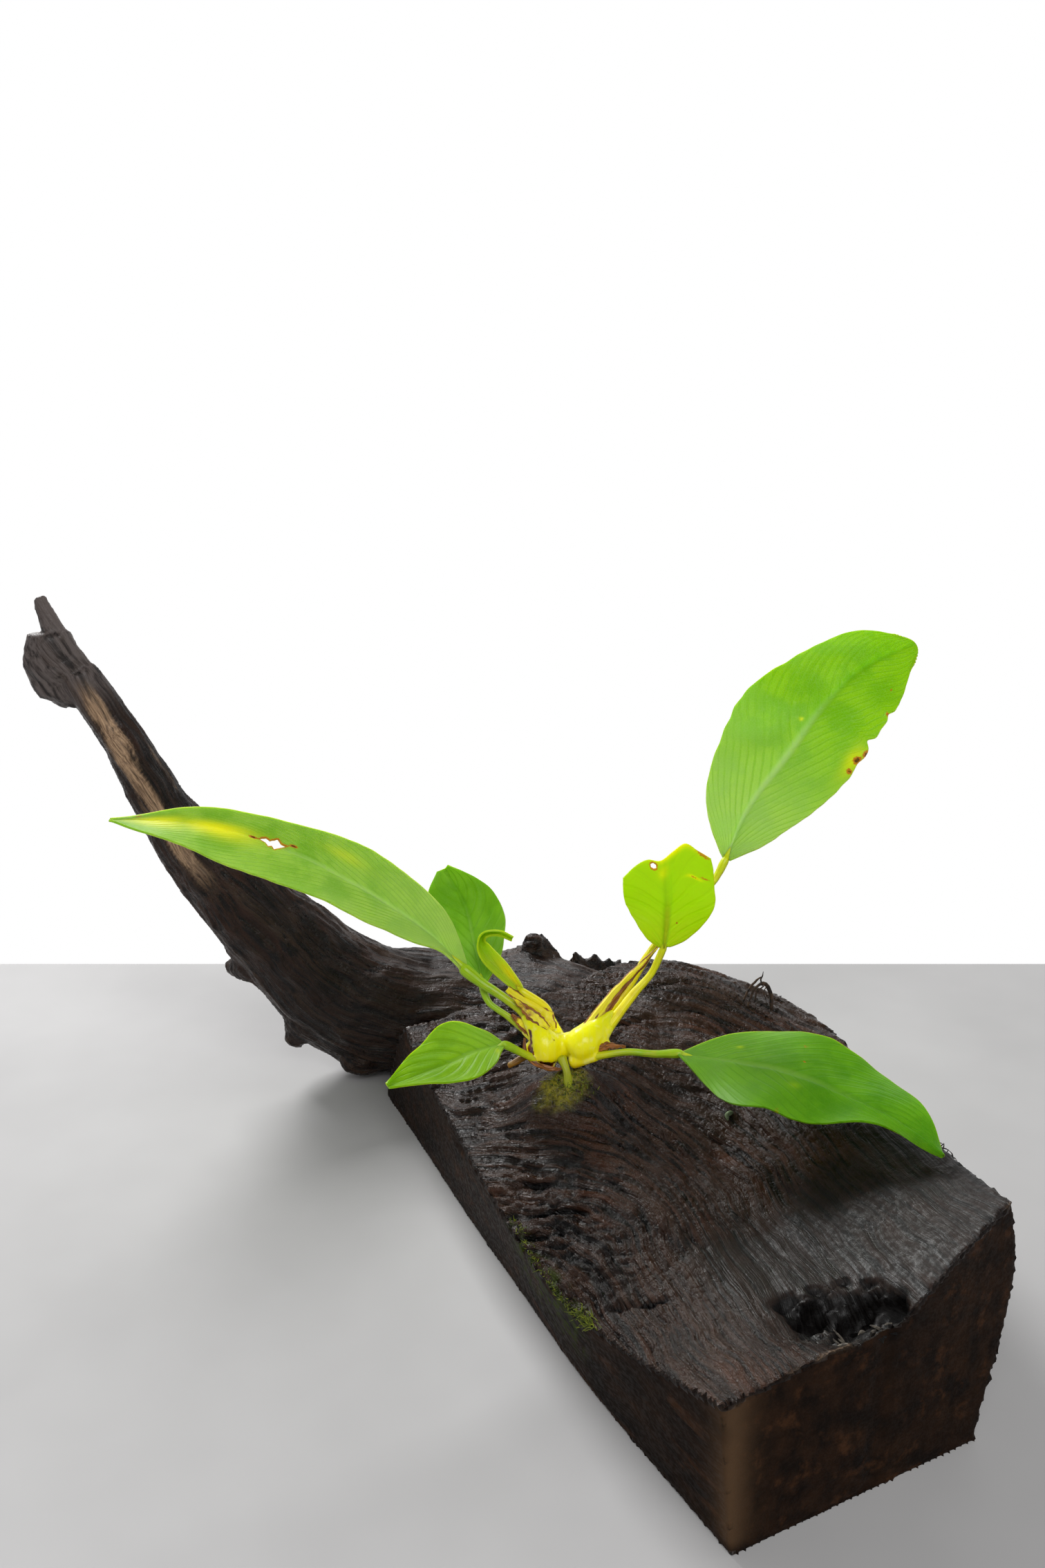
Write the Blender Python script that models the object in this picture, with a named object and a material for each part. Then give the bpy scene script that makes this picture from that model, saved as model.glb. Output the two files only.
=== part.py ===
"""Anubias growing on a sawn chunk of dark driftwood.

The wood stands on its flat sawn underside. From the back of the sawn block one long branch
runs off to the left and rises to a broken fork. The plant sits on top of the block: a short
creeping rhizome with seven leaves, each a blade on its own stalk.

Lengths are in millimetres, and MM turns them into metres where a mesh is made. Points of the
plant and the branch are measured from the spot on the table straight below the plant's crown:
x to the right, y away from the viewer, z up. The block is drawn in its own axes, across and
along, from its nearest bottom corner. The empty that carries all pieces moves that spot, so
that the whole object stands centred on the origin.
"""

import math
from dataclasses import dataclass

import bmesh
import bpy
import numpy as np
from mathutils import Matrix, Vector, noise

MM = 0.001
GAP = 0.4                         # clearance cut between two pieces that touch
CROWN_PLACE = (29.7, -4.7)        # where the crown's spot stands, from the object's centre

BLOCK_CORNER = (33.0, -105.0)     # nearest bottom corner of the block
BLOCK_TURN = math.radians(26.6)   # the block's length runs away and to the left
BLOCK_CUTS = (13, 24, 5)          # cuts across, along and up its gridded faces
WOOD_GRAIN = 0.7                  # height of the weathered ridges on natural wood

BRANCH_SIDES = 18
BRANCH_RINGS = 32
STALK_SIDES = 8
BLADE_ROWS = 14
BLADE_COLUMNS = 6
BLADE_THICKNESS = 1.0
SMOOTH_ANGLE = math.radians(40)

WOOD_DARK = (0.022, 0.014, 0.011)
WOOD_BRANCH = (0.035, 0.024, 0.018)
RHIZOME_YELLOW = (0.72, 0.66, 0.07)
STALK_GREEN = (0.36, 0.52, 0.05)
ROOT_OLIVE = (0.30, 0.30, 0.05)
MOSS_GREEN = (0.06, 0.10, 0.02)


@dataclass(frozen=True)
class Leaf:
    """One leaf: a blade on a stalk.

    The midrib runs from the blade's base to its tip. Half widths are given at every tenth of
    its length, on the left and the right of the midrib as seen on the upper side with the
    tip up. Facing is the way the upper side looks. Fold lifts both margins, and wave is the
    height of the margin's waves.
    """

    name: str
    stalk: tuple
    stalk_radii: tuple
    midrib: tuple
    facing: tuple
    left: tuple
    right: tuple
    fold: float
    wave: float
    waves: float
    colour: tuple
    bite: tuple = (0.0, 0.0)


LEAVES = (
    Leaf(
        name="long",
        stalk=((-5, 0.6, 62.5), (-10, 3.8, 67.8), (-16, 6.5, 71.5), (-21, 8.2, 74.2),
               (-25.5, 9.6, 77.4)),
        stalk_radii=(1.7, 1.2, 1.2, 1.4, 1.7),
        midrib=((-26, 10, 78.3), (-37.5, 11.6, 89.7), (-56, 11.5, 102.8), (-76, 10.8, 114),
                (-97, 8.2, 121), (-117, 4.2, 123)),
        facing=(0, -0.3, 0.95),
        left=(1.2, 2.5, 7, 10, 12, 14, 15, 14.5, 11.5, 7.5, 0.6),
        right=(1.2, 6.5, 11, 13, 13.5, 12, 9.5, 7.5, 5, 2.5, 0.6),
        fold=1.2, wave=0.5, waves=2.5, colour=(0.10, 0.33, 0.03)),
    Leaf(
        name="back",
        stalk=((-6.4, 2.6, 60.8), (-10, 4.2, 62.6), (-14.5, 6.2, 65.6), (-19, 8.2, 68.2),
               (-20.8, 10.2, 71.4)),
        stalk_radii=(1.5, 1.0, 0.9, 0.9, 1.1),
        midrib=((-21, 11, 72.8), (-24, 20.5, 82), (-26.5, 28.5, 89), (-32.5, 37, 96.8)),
        facing=(-0.1, -0.75, 0.65),
        left=(0.8, 3, 5, 6.5, 7.5, 8, 9, 9.3, 9, 7.5, 2.5),
        right=(0.8, 5, 7.5, 9, 10, 10, 9.5, 8.5, 6.5, 4, 0.8),
        fold=1.0, wave=0.3, waves=2.0, colour=(0.08, 0.28, 0.04)),
    Leaf(
        name="young",
        stalk=((-1.6, 4.4, 63.4), (-3.8, 5.6, 68.4), (-9.6, 6.4, 72.2)),
        stalk_radii=(1.3, 1.1, 1.2),
        midrib=((-10.2, 6.6, 72.6), (-15.2, 8.4, 77.2), (-20, 10.6, 81.6), (-21.6, 11.8, 84.8),
                (-20.4, 12, 87.2), (-16.6, 11.8, 87.6), (-12.8, 11.5, 86)),
        facing=(0.3, -0.85, 0.3),
        left=(1.0, 1.7, 2.2, 2.2, 1.7, 1.1, 0.8, 0.7, 0.6, 0.6, 0.4),
        right=(1.0, 2.0, 2.8, 2.8, 2.2, 1.3, 0.8, 0.7, 0.6, 0.6, 0.4),
        fold=1.6, wave=0.0, waves=1.0, colour=(0.26, 0.46, 0.04)),
    Leaf(
        name="side",
        stalk=((-5.2, -3.6, 57.2), (-9.4, -4.4, 59.6), (-14.4, -5, 62.6)),
        stalk_radii=(1.3, 1.0, 1.1),
        midrib=((-15.2, -5.3, 63.1), (-22, -9, 63.2), (-31, -14.2, 61.8), (-44.2, -21.8, 60.2)),
        facing=(-0.1, -0.35, 0.93),
        left=(0.9, 3, 5.5, 7, 8, 8.5, 8, 6.5, 4, 2, 0.5),
        right=(0.9, 5.5, 8.5, 11, 12, 12, 11, 9, 7, 4, 0.5),
        fold=0.8, wave=0.3, waves=2.0, colour=(0.16, 0.42, 0.03)),
    Leaf(
        name="right",
        stalk=((6.6, -4.2, 58), (12, -4.8, 59.6), (18.5, -5, 60.6), (25, -6.1, 60.6),
               (31, -7.4, 61.5)),
        stalk_radii=(1.4, 1.0, 0.95, 1.0, 1.2),
        midrib=((31.9, -7.7, 61.6), (45, -13.3, 62.8), (57.5, -20, 63.6), (69.2, -28.1, 62.5),
                (80, -38, 61.4), (89.1, -48.6, 58.2)),
        facing=(0.05, -0.25, 0.97),
        left=(1.0, 6.5, 13.5, 17, 17.5, 17, 15.5, 13, 10, 5.5, 0.5),
        right=(1.0, 7.5, 13, 15.5, 14.5, 13.5, 11.5, 8, 4, 2, 0.5),
        fold=-1.0, wave=1.2, waves=2.6, colour=(0.09, 0.34, 0.03)),
    Leaf(
        name="chewed",
        stalk=((11.6, 0.6, 62.6), (16, 3.8, 67.2), (20.4, 6.8, 71.8), (25.2, 9.2, 76.6),
               (28.2, 10.6, 82.8)),
        stalk_radii=(1.7, 1.4, 1.2, 1.0, 1.0),
        midrib=((28.6, 10.8, 83.8), (29.3, 12.2, 92), (29.4, 12.7, 100), (28.7, 13.8, 112.6)),
        facing=(0, 0.98, 0.15),
        left=(0.9, 5.5, 8, 10, 11.5, 12.5, 13, 12.8, 12.6, 12.4, 12),
        right=(0.9, 4.5, 6.5, 8, 9.2, 10.2, 11, 11.6, 12, 12.1, 12.1),
        fold=1.2, wave=0.5, waves=1.5, colour=(0.45, 0.62, 0.04),
        bite=(0.12, 0.06, 0.0, 0.05, 0.11, 0.10, 0.14, 0.22)),
    Leaf(
        name="tall",
        stalk=((8, 4.2, 62.8), (13.4, 7.2, 66), (18.6, 11, 70.6), (26, 17, 80), (35.5, 22.8, 89.6),
               (43.6, 27, 96.2), (47, 28.9, 101.6)),
        stalk_radii=(1.6, 1.3, 1.2, 1.1, 1.0, 1.0, 1.2),
        midrib=((47.5, 29.3, 102.7), (54.5, 36.2, 116), (67, 45.9, 128.9), (78.1, 54, 141.2),
                (91.5, 61.7, 151.2), (107.8, 68.2, 156.7)),
        facing=(-0.2, -0.8, 0.55),
        left=(1.1, 7.5, 13, 17, 19.5, 20, 18, 15, 12, 8.5, 2),
        right=(1.1, 9, 13, 16, 18, 18.5, 18, 16, 13.5, 9, 2),
        fold=1.8, wave=0.8, waves=2.5, colour=(0.20, 0.48, 0.03)),
)

# The block's four top edges and four bottom edges: across, along, up
TOP_LEFT = ((-3, 2, 37.5), (-7, 34, 28), (-9.5, 60, 24), (-9, 90, 26), (-8, 120, 31),
            (-5, 152, 34), (-1, 178, 36))
TOP_RIGHT = ((74.5, 4, 59), (82, 28, 53), (89, 52, 51), (96, 78, 50), (100, 98, 50.5),
             (98, 118, 51.5), (88, 137, 52.5))
TOP_FRONT = ((-3, 2, 37.5), (19, 0.5, 42), (42, 0, 45.5), (59, 1.5, 53.5), (74.5, 4, 59))
TOP_BACK = ((-1, 178, 36), (16, 159, 45), (39, 152, 49), (62, 150, 55), (88, 137, 52.5))
BOTTOM_LEFT = ((0, 0, 0), (-2.5, 36, 0), (-3.5, 60, 0), (-3, 92, 0), (-2.5, 125, 0),
               (-1, 163, 0), (0, 200, 0))
BOTTOM_RIGHT = ((67.5, 0, 0), (71, 28, 0), (77, 52, 0), (86, 78, 0), (90, 98, 0),
                (87, 120, 0), (76, 142, 0))
BOTTOM_FRONT = ((0, 0, 0), (34, 0, 0), (67.5, 0, 0))
BOTTOM_BACK = ((0, 200, 0), (20, 188, 0), (40, 172, 0), (58, 157, 0), (76, 142, 0))

# Swells and hollows of the block's top: across, along, height, reach across, reach along
SWELLS = (
    (20, 108, 9.0, 24, 42),      # shoulder that carries the plant
    (72, 128, 8.0, 32, 26),      # hump at the far right
    (78, 74, 5.0, 26, 56),       # crown of the right side
    (20, 155, 4.0, 22, 20),      # ridge at the back
    (16, 62, 5.0, 22, 30),       # shoulder above the left edge
    (44, 60, -3.0, 22, 40),      # shallow trough down the middle
    (33, 9, -5.0, 12, 7.5),      # rotted hollow at the front edge
    (24, 15, -2.5, 8, 6),
    (41, 3, -3.0, 7, 6),
)
RIGHT_BULGE = 10.0                # how far the natural right side swells above mid height
BACK_BULGE = 2.0

# The branch: centre line with half width and half height, from inside the block to the fork
BRANCH_LINE = ((32, 44, 22), (8, 74, 23), (-24, 90, 23), (-49, 92, 24), (-67, 91, 29.5),
               (-81, 90, 40), (-95.5, 90, 55), (-109, 89, 71), (-120.5, 89, 86), (-128.5, 89, 99),
               (-135, 88, 113), (-142, 88, 127), (-151.5, 88, 143))
BRANCH_SIZE = ((19, 18), (24, 22), (23, 23), (21, 22.5), (19, 22.5), (17.5, 19.5), (15.5, 16),
               (13, 13.5), (10.5, 10.8), (8, 8.2), (6.8, 7.2), (6.4, 6.6), (5.6, 6))
# Lumps and hollows on the branch: x, y, z, height, reach
BRANCH_LUMPS = (
    (-68, 84, 3, 7, 10),         # foot that touches the table
    (-91, 88, 13, 8, 7),         # knobs under the bend
    (-111.5, 88, 40, 7, 6),
    (-6, 97, 44, 11, 8),         # stub on the back
    (-16, 88, 46, -6, 15),       # trough along the top
    (-40, 91, 48, -6, 15),
    (-62, 92, 50, -3, 12),
    (-58, 72, 36, 3, 10),        # ridge along the front
    (-36, 70, 32, 2.5, 10),
)
SPIKE_LINE = ((-150.5, 88, 141.5), (-154.6, 88, 149.5), (-158, 88, 158), (-160.8, 88, 167.5))
SPIKE_RADII = (5.6, 5.0, 3.6, 2.0)
STUB_LINE = ((-150, 88, 135), (-155, 88, 139.5), (-158.5, 88, 146.5), (-159.3, 88, 156))
STUB_RADII = (4.8, 8.0, 9.5, 7.0)

RHIZOME_LINE = ((-8.4, -0.2, 58.6), (-6.4, -0.2, 58.8), (-1.6, -0.2, 59), (2.2, -0.2, 59.8),
                (6.6, 0, 60.4), (11, -0.4, 60.4), (13.2, -0.6, 60))
RHIZOME_RADII = (2.2, 4.0, 4.9, 3.9, 4.4, 3.7, 1.8)
ROOT_LINE = ((0.6, -4.2, 57.6), (1.4, -5.8, 55.6), (2, -6.8, 52.6))
ROOT_RADII = (1.2, 1.0, 1.1)
NUB_LINE = ((-8, 0.4, 57.4), (-10.6, -0.8, 56), (-13.6, -1.6, 54.6))
NUB_RADII = (1.3, 1.0, 0.8)
TWIG_LINE = ((55.8, 27, 57), (57.5, 28, 62.4), (60, 28.4, 66.6), (61.4, 28.2, 62.6),
             (63, 28, 57))
TWIG_RADIUS = 0.45
MOSS_PLACE = (-8, 47, 26.5)      # on the block, across, along, up
MOSS_SIZE = (3.2, 4.2, 3.0)


def smooth(points, fraction):
    """Value at a fraction of the way along a smooth curve through equally spaced points."""
    values = np.asarray(points, dtype=float)
    place = min(max(fraction, 0.0), 1.0) * (len(values) - 1)
    first = min(int(place), len(values) - 2)
    t = place - first
    before = values[first - 1] if first > 0 else 2 * values[0] - values[1]
    after = values[first + 2] if first + 2 < len(values) else 2 * values[-1] - values[-2]
    start, end = values[first], values[first + 1]
    return 0.5 * (2 * start + (end - before) * t
                  + (2 * before - 5 * start + 4 * end - after) * t ** 2
                  + (3 * start - before - 3 * end + after) * t ** 3)


def even_fractions(points, count):
    """Fractions that space count points evenly along the smooth curve's length."""
    steps = np.linspace(0, 1, 200)
    line = np.array([smooth(points, step) for step in steps])
    travelled = np.concatenate(([0], np.cumsum(np.linalg.norm(np.diff(line, axis=0), axis=1))))
    return np.interp(np.linspace(0, travelled[-1], count), travelled, steps)


def grain(place, size, octaves=3):
    """Smooth uneven noise of about -1 to 1, with features of the given size."""
    return noise.fractal(Vector(place) / size, 1.0, 2.0, octaves)


def material(name, colour, roughness):
    """Plain surface of one colour."""
    made = bpy.data.materials.new(name)
    made.use_nodes = True
    shader = made.node_tree.nodes["Principled BSDF"]
    shader.inputs["Base Color"].default_value = (*colour, 1.0)
    shader.inputs["Roughness"].default_value = roughness
    made.diffuse_color = (*colour, 1.0)
    return made


def add_object(name, bm, root, colour, roughness):
    """Turns a bmesh in millimetres into a named object under the root."""
    bmesh.ops.scale(bm, vec=(MM, MM, MM), verts=bm.verts)
    bmesh.ops.recalc_face_normals(bm, faces=bm.faces)
    bmesh.ops.triangulate(bm, faces=bm.faces)
    mesh = bpy.data.meshes.new(name)
    bm.to_mesh(mesh)
    bm.free()
    mesh.shade_smooth()
    mesh.set_sharp_from_angle(angle=SMOOTH_ANGLE)
    mesh.materials.append(material(name, colour, roughness))
    made = bpy.data.objects.new(name, mesh)
    bpy.context.scene.collection.objects.link(made)
    made.parent = root
    return made


def keep_clear(piece, neighbour):
    """Cuts a piece back to a small clearance from its neighbour."""
    cutter = neighbour.copy()
    cutter.data = neighbour.data.copy()
    cutter.name = f"clear_of_{neighbour.name}"
    bpy.context.scene.collection.objects.link(cutter)
    cutter.hide_render = True
    cutter.display_type = "WIRE"
    swell = cutter.modifiers.new("Clearance", "DISPLACE")
    swell.strength = GAP * MM
    swell.mid_level = 0.0
    cut = piece.modifiers.new("Clear", "BOOLEAN")
    cut.operation = "DIFFERENCE"
    cut.solver = "EXACT"
    cut.object = cutter


def loft(rings):
    """Closed body through a row of rings, with a flat cap on each end."""
    bm = bmesh.new()
    loops = []
    for ring in rings:
        verts = [bm.verts.new(point) for point in ring]
        loops.append([bm.edges.new((verts[i - 1], verts[i])) for i in range(len(verts))])
    for near, far in zip(loops, loops[1:]):
        bmesh.ops.bridge_loops(bm, edges=near + far)
    for end in (loops[0], loops[-1]):
        bmesh.ops.contextual_create(bm, geom=end)
    return bm


def ring_frames(points, count):
    """Places along a smooth line, each with its direction and two axes across it."""
    fractions = even_fractions(points, count)
    centres = [Vector(smooth(points, f)) for f in fractions]
    frames = []
    side = None
    for i, centre in enumerate(centres):
        along = (centres[min(i + 1, count - 1)] - centres[max(i - 1, 0)]).normalized()
        if side is None:
            reference = Vector((0, 0, 1)) if abs(along.z) < 0.8 else Vector((0, 1, 0))
            side = along.cross(reference)
        side = (side - along * side.dot(along)).normalized()
        frames.append((fractions[i], centre, along, side, side.cross(along)))
    return frames


def rod(points, radii, count, sides):
    """Round tapering rod along a smooth line."""
    rings = []
    for fraction, centre, _along, side, up in ring_frames(points, count):
        radius = float(smooth(radii, fraction))
        angles = [2 * math.pi * i / sides for i in range(sides)]
        rings.append([centre + radius * (math.cos(a) * side + math.sin(a) * up) for a in angles])
    return loft(rings)


def coons(left, right, front, back, a, b):
    """Point of the smooth patch between four edges, a across and b along."""
    sides = (1 - a) * smooth(left, b) + a * smooth(right, b)
    ends = (1 - b) * smooth(front, a) + b * smooth(back, a)
    near = (1 - a) * np.asarray(left[0]) + a * np.asarray(right[0])
    far = (1 - a) * np.asarray(left[-1]) + a * np.asarray(right[-1])
    return sides + ends - (1 - b) * near - b * far


def swell_height(across, along):
    """Height that the swells and hollows add to the block's top."""
    total = 0.0
    for x, y, height, reach_x, reach_y in SWELLS:
        distance = ((across - x) / reach_x) ** 2 + ((along - y) / reach_y) ** 2
        total += height * math.exp(-1.5 * distance)
    return total


def block_point(a, b, c):
    """Place on the block of a point of the unit cube."""
    bottom = coons(BOTTOM_LEFT, BOTTOM_RIGHT, BOTTOM_FRONT, BOTTOM_BACK, a, b)
    top = coons(TOP_LEFT, TOP_RIGHT, TOP_FRONT, TOP_BACK, a, b)
    inner = math.sin(math.pi * min(max(a, 0.0), 1.0)) ** 0.5
    top[2] += swell_height(top[0], top[1]) * (0.25 + 0.75 * inner)
    across, along, up = bottom + (top - bottom) * c
    side_bulge = math.sin(math.pi * c ** 1.4)
    natural_right = max(0.0, a - 0.9) / 0.1 * min(1.0, 0.45 + 5 * b)
    natural_back = max(0.0, b - 0.93) / 0.07
    across += RIGHT_BULGE * side_bulge * natural_right
    along += BACK_BULGE * side_bulge * natural_back
    place = (across, along, up)
    weathered = max(natural_right, natural_back) * side_bulge
    if c > 0.99:
        weathered = max(weathered, inner * min(1.0, 6 * b))
    stretched = (across, 0.35 * along, up)
    up += WOOD_GRAIN * weathered * grain(stretched, 7.0) * min(1.0, 3 * c)
    across += 1.6 * natural_right * side_bulge * grain(place, 11.0)
    along += 2.2 * natural_back * side_bulge * grain((place[0], place[2], place[1]), 11.0)
    return Vector((across, along, up))


def make_block(root):
    """The sawn block: a gridded cube shaped to its edges, swells and hollows."""
    bm = bmesh.new()
    bmesh.ops.create_cube(bm, size=1.0, matrix=Matrix.Translation((0.5, 0.5, 0.5)))
    for axis, cuts in enumerate(BLOCK_CUTS):
        edges = [e for e in bm.edges if abs((e.verts[0].co - e.verts[1].co)[axis]) > 0.5]
        bmesh.ops.subdivide_edges(bm, edges=edges, cuts=cuts, use_grid_fill=True)
    turn = Matrix.Translation((*BLOCK_CORNER, 0)) @ Matrix.Rotation(BLOCK_TURN, 4, "Z")
    for vert in bm.verts:
        vert.co = turn @ block_point(*vert.co)
    return add_object("driftwood_block", bm, root, WOOD_DARK, 0.45)


def make_branch(root):
    """The long branch: rings along its bend, with lumps and weathered ridges."""
    rings = []
    for fraction, centre, _along, side, up in ring_frames(BRANCH_LINE, BRANCH_RINGS):
        half_width, half_height = smooth(BRANCH_SIZE, fraction).tolist()
        ring = []
        for i in range(BRANCH_SIDES):
            angle = 2 * math.pi * i / BRANCH_SIDES
            outward = (half_width * math.cos(angle) * side + half_height * math.sin(angle) * up)
            point = centre + outward
            direction = outward.normalized()
            ridge = grain((3 * math.cos(angle), 3 * math.sin(angle), 5 * fraction), 1.0)
            rise = 0.09 * outward.length * ridge + WOOD_GRAIN * grain(point, 9.0)
            for x, y, z, height, reach in BRANCH_LUMPS:
                near = (point - Vector((x, y, z))).length / reach
                rise += height * math.exp(-near ** 2)
            point += direction * rise
            point.z = max(point.z, 0.0)
            ring.append(point)
        rings.append(ring)
    return add_object("driftwood_branch", loft(rings), root, WOOD_BRANCH, 0.7)


def make_fork_arm(name, line, radii, ruggedness, root):
    """One arm of the fork at the branch's end, broken off."""
    bm = rod(line, radii, 10, 12)
    for vert in bm.verts:
        vert.co.y += 0.35 * (line[0][1] - vert.co.y)
        shift = (grain(vert.co + Vector((offset, 0, 0)), 5.0) for offset in (0, 20, 40))
        vert.co += ruggedness * Vector(shift)
    return add_object(name, bm, root, WOOD_BRANCH, 0.7)


def make_stalk(leaf, root):
    """A leaf's round stalk, from the rhizome to just short of the blade."""
    count = 3 * len(leaf.stalk)
    bm = rod(leaf.stalk, leaf.stalk_radii, count, STALK_SIDES)
    return add_object(f"stalk_{leaf.name}", bm, root, STALK_GREEN, 0.4)


def blade_point(leaf, s, t):
    """Place on a blade's middle surface, s along the midrib and t across it from -1 to 1."""
    if t < 0:
        half_width = float(smooth(leaf.left, s))
    else:
        half_width = float(smooth(leaf.right, s))
    reach = 1.0 - float(smooth(leaf.bite, (t + 1) / 2))
    place = s * reach
    centre = Vector(smooth(leaf.midrib, place))
    ahead = Vector(smooth(leaf.midrib, min(place + 0.02, 1.0)))
    behind = Vector(smooth(leaf.midrib, max(place - 0.02, 0.0)))
    along = (ahead - behind).normalized()
    facing = Vector(leaf.facing)
    facing = (facing - along * facing.dot(along)).normalized()
    rightward = along.cross(facing)
    lift = leaf.fold * (abs(t) ** 1.5) * math.sin(math.pi * min(s, 0.9)) ** 0.5
    lift += leaf.wave * (abs(t) ** 2) * math.sin(2 * math.pi * leaf.waves * s + 2.0 * (t > 0))
    return centre + rightward * (half_width * t) + facing * lift


def make_blade(leaf, root):
    """A leaf's blade: a grid bent to its midrib, margins and waves, given its thickness."""
    bm = bmesh.new()
    bmesh.ops.create_grid(bm, x_segments=BLADE_ROWS, y_segments=BLADE_COLUMNS, size=1.0)
    for vert in bm.verts:
        vert.co = blade_point(leaf, (vert.co.x + 1) / 2, vert.co.y)
    bmesh.ops.recalc_face_normals(bm, faces=bm.faces)
    made = add_object(f"blade_{leaf.name}", bm, root, leaf.colour, 0.35)
    wall = made.modifiers.new("Thickness", "SOLIDIFY")
    wall.thickness = BLADE_THICKNESS * MM
    wall.offset = 0.0
    wall.use_even_offset = False
    return made


def make_rhizome(root):
    """The creeping rhizome: two yellow bulbs end to end."""
    bm = rod(RHIZOME_LINE, RHIZOME_RADII, 13, 14)
    for vert in bm.verts:
        vert.co += 0.3 * Vector((0, grain(vert.co, 5.0), grain(vert.co + Vector((9, 0, 0)), 5.0)))
    return add_object("rhizome", bm, root, RHIZOME_YELLOW, 0.3)


def make_moss(root):
    """The tuft of moss on the block's left edge."""
    bm = bmesh.new()
    bmesh.ops.create_icosphere(bm, subdivisions=2, radius=1.0)
    turn = Matrix.Translation((*BLOCK_CORNER, 0)) @ Matrix.Rotation(BLOCK_TURN, 4, "Z")
    for vert in bm.verts:
        uneven = 1 + 0.25 * grain(vert.co, 0.8)
        stretched = Vector(a * b * uneven for a, b in zip(vert.co, MOSS_SIZE))
        vert.co = turn @ (Vector(MOSS_PLACE) + stretched)
    return add_object("moss_tuft", bm, root, MOSS_GREEN, 0.9)


def main():
    """Builds the wood first, then the plant on it."""
    for old in list(bpy.data.objects):
        bpy.data.objects.remove(old, do_unlink=True)
    root = bpy.data.objects.new("anubias_on_driftwood", None)
    bpy.context.scene.collection.objects.link(root)
    root.location = (CROWN_PLACE[0] * MM, CROWN_PLACE[1] * MM, 0.0)

    block = make_block(root)
    branch = make_branch(root)
    keep_clear(branch, block)
    spike = make_fork_arm("driftwood_spike", SPIKE_LINE, SPIKE_RADII, 0.4, root)
    keep_clear(spike, branch)
    stub = make_fork_arm("driftwood_stub", STUB_LINE, STUB_RADII, 1.3, root)
    keep_clear(stub, branch)
    keep_clear(stub, spike)
    moss = make_moss(root)
    keep_clear(moss, block)
    twig = add_object("dry_rootlet", rod(TWIG_LINE, (TWIG_RADIUS, TWIG_RADIUS), 10, 5), root,
                      WOOD_BRANCH, 0.8)
    keep_clear(twig, block)

    rhizome = make_rhizome(root)
    keep_clear(rhizome, block)
    for name, line, radii in (("root_stub", ROOT_LINE, ROOT_RADII),
                              ("root_nub", NUB_LINE, NUB_RADII)):
        piece = add_object(name, rod(line, radii, 7, 8), root, ROOT_OLIVE, 0.6)
        keep_clear(piece, rhizome)
        keep_clear(piece, block)
    for leaf in LEAVES:
        stalk = make_stalk(leaf, root)
        keep_clear(stalk, rhizome)
        blade = make_blade(leaf, root)
        keep_clear(blade, stalk)


if __name__ == "__main__":
    main()
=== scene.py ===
"""Anubias on a sawn chunk of dark driftwood, dressed for close views.

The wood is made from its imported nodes: the block, the branch and the branch's broken fork are
fused into one skin, weathered along their grain and parted again. The plant is built anew on
the lines of its nodes: blades with veins, stalks, a crown, dry sheaths, roots and moss.

Lengths are in millimetres, and points are measured from the spot on the table straight below
the plant's crown: x to the right, y away from the viewer, z up. CROWN is where that spot
stands in the model's own frame. Every finished mesh is moved there and turned to metres.
"""

import itertools
import logging
import math
from collections.abc import Callable, Iterable
from dataclasses import dataclass, field
from enum import Enum
from functools import partial

import bmesh
import bpy
import numpy as np
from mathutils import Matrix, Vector
from mathutils.bvhtree import BVHTree


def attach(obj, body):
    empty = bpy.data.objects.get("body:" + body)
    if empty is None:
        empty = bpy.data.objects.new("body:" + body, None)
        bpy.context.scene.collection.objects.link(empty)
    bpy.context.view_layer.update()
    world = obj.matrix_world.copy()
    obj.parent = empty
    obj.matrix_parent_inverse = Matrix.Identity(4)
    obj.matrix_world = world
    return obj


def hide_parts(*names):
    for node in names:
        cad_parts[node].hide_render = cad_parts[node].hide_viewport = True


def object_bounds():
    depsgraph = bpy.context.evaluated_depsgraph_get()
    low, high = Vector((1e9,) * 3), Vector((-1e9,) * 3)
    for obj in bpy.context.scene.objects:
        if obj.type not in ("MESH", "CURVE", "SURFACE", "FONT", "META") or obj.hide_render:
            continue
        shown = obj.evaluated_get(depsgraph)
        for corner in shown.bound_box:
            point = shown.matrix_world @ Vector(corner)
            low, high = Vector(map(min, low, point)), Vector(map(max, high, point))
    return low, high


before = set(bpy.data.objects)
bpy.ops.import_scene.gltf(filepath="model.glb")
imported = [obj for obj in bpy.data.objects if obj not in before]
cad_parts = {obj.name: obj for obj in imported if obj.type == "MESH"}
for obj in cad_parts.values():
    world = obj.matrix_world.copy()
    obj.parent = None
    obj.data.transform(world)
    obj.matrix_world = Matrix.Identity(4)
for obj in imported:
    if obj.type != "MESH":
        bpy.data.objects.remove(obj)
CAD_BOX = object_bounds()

logging.basicConfig(level=logging.INFO, format="%(name)s: %(message)s")
log = logging.getLogger("anubias")

MM = 0.001
CROWN = (29.7, -4.7, 0.0)         # the crown's spot in the model's frame
BLOCK_CORNER = (33.0, -105.0)     # nearest bottom corner of the block
BLOCK_TURN = math.radians(26.6)   # of the block about the vertical
SHARP = math.radians(50)          # edges keener than this are shaded sharp
VEIN_MM = 5.0                     # between two side veins, along the midrib
VEIN_SLANT = 0.40                 # how far a vein runs ahead on its way to the margin
VEIN_BEND = 1.15


class Slot(Enum):
    """The record's material slots."""

    BLOCK = "sawn_driftwood"
    BRANCH = "weathered_driftwood"
    MOSS = "moss"
    DRY_ROOT = "dry_root"
    RHIZOME = "rhizome"
    LIVE_ROOT = "live_root"
    STALK = "stalk"
    BLADE = "blade"
    PALE_BLADE = "pale_blade"


# Curves, noise and other sums


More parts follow.
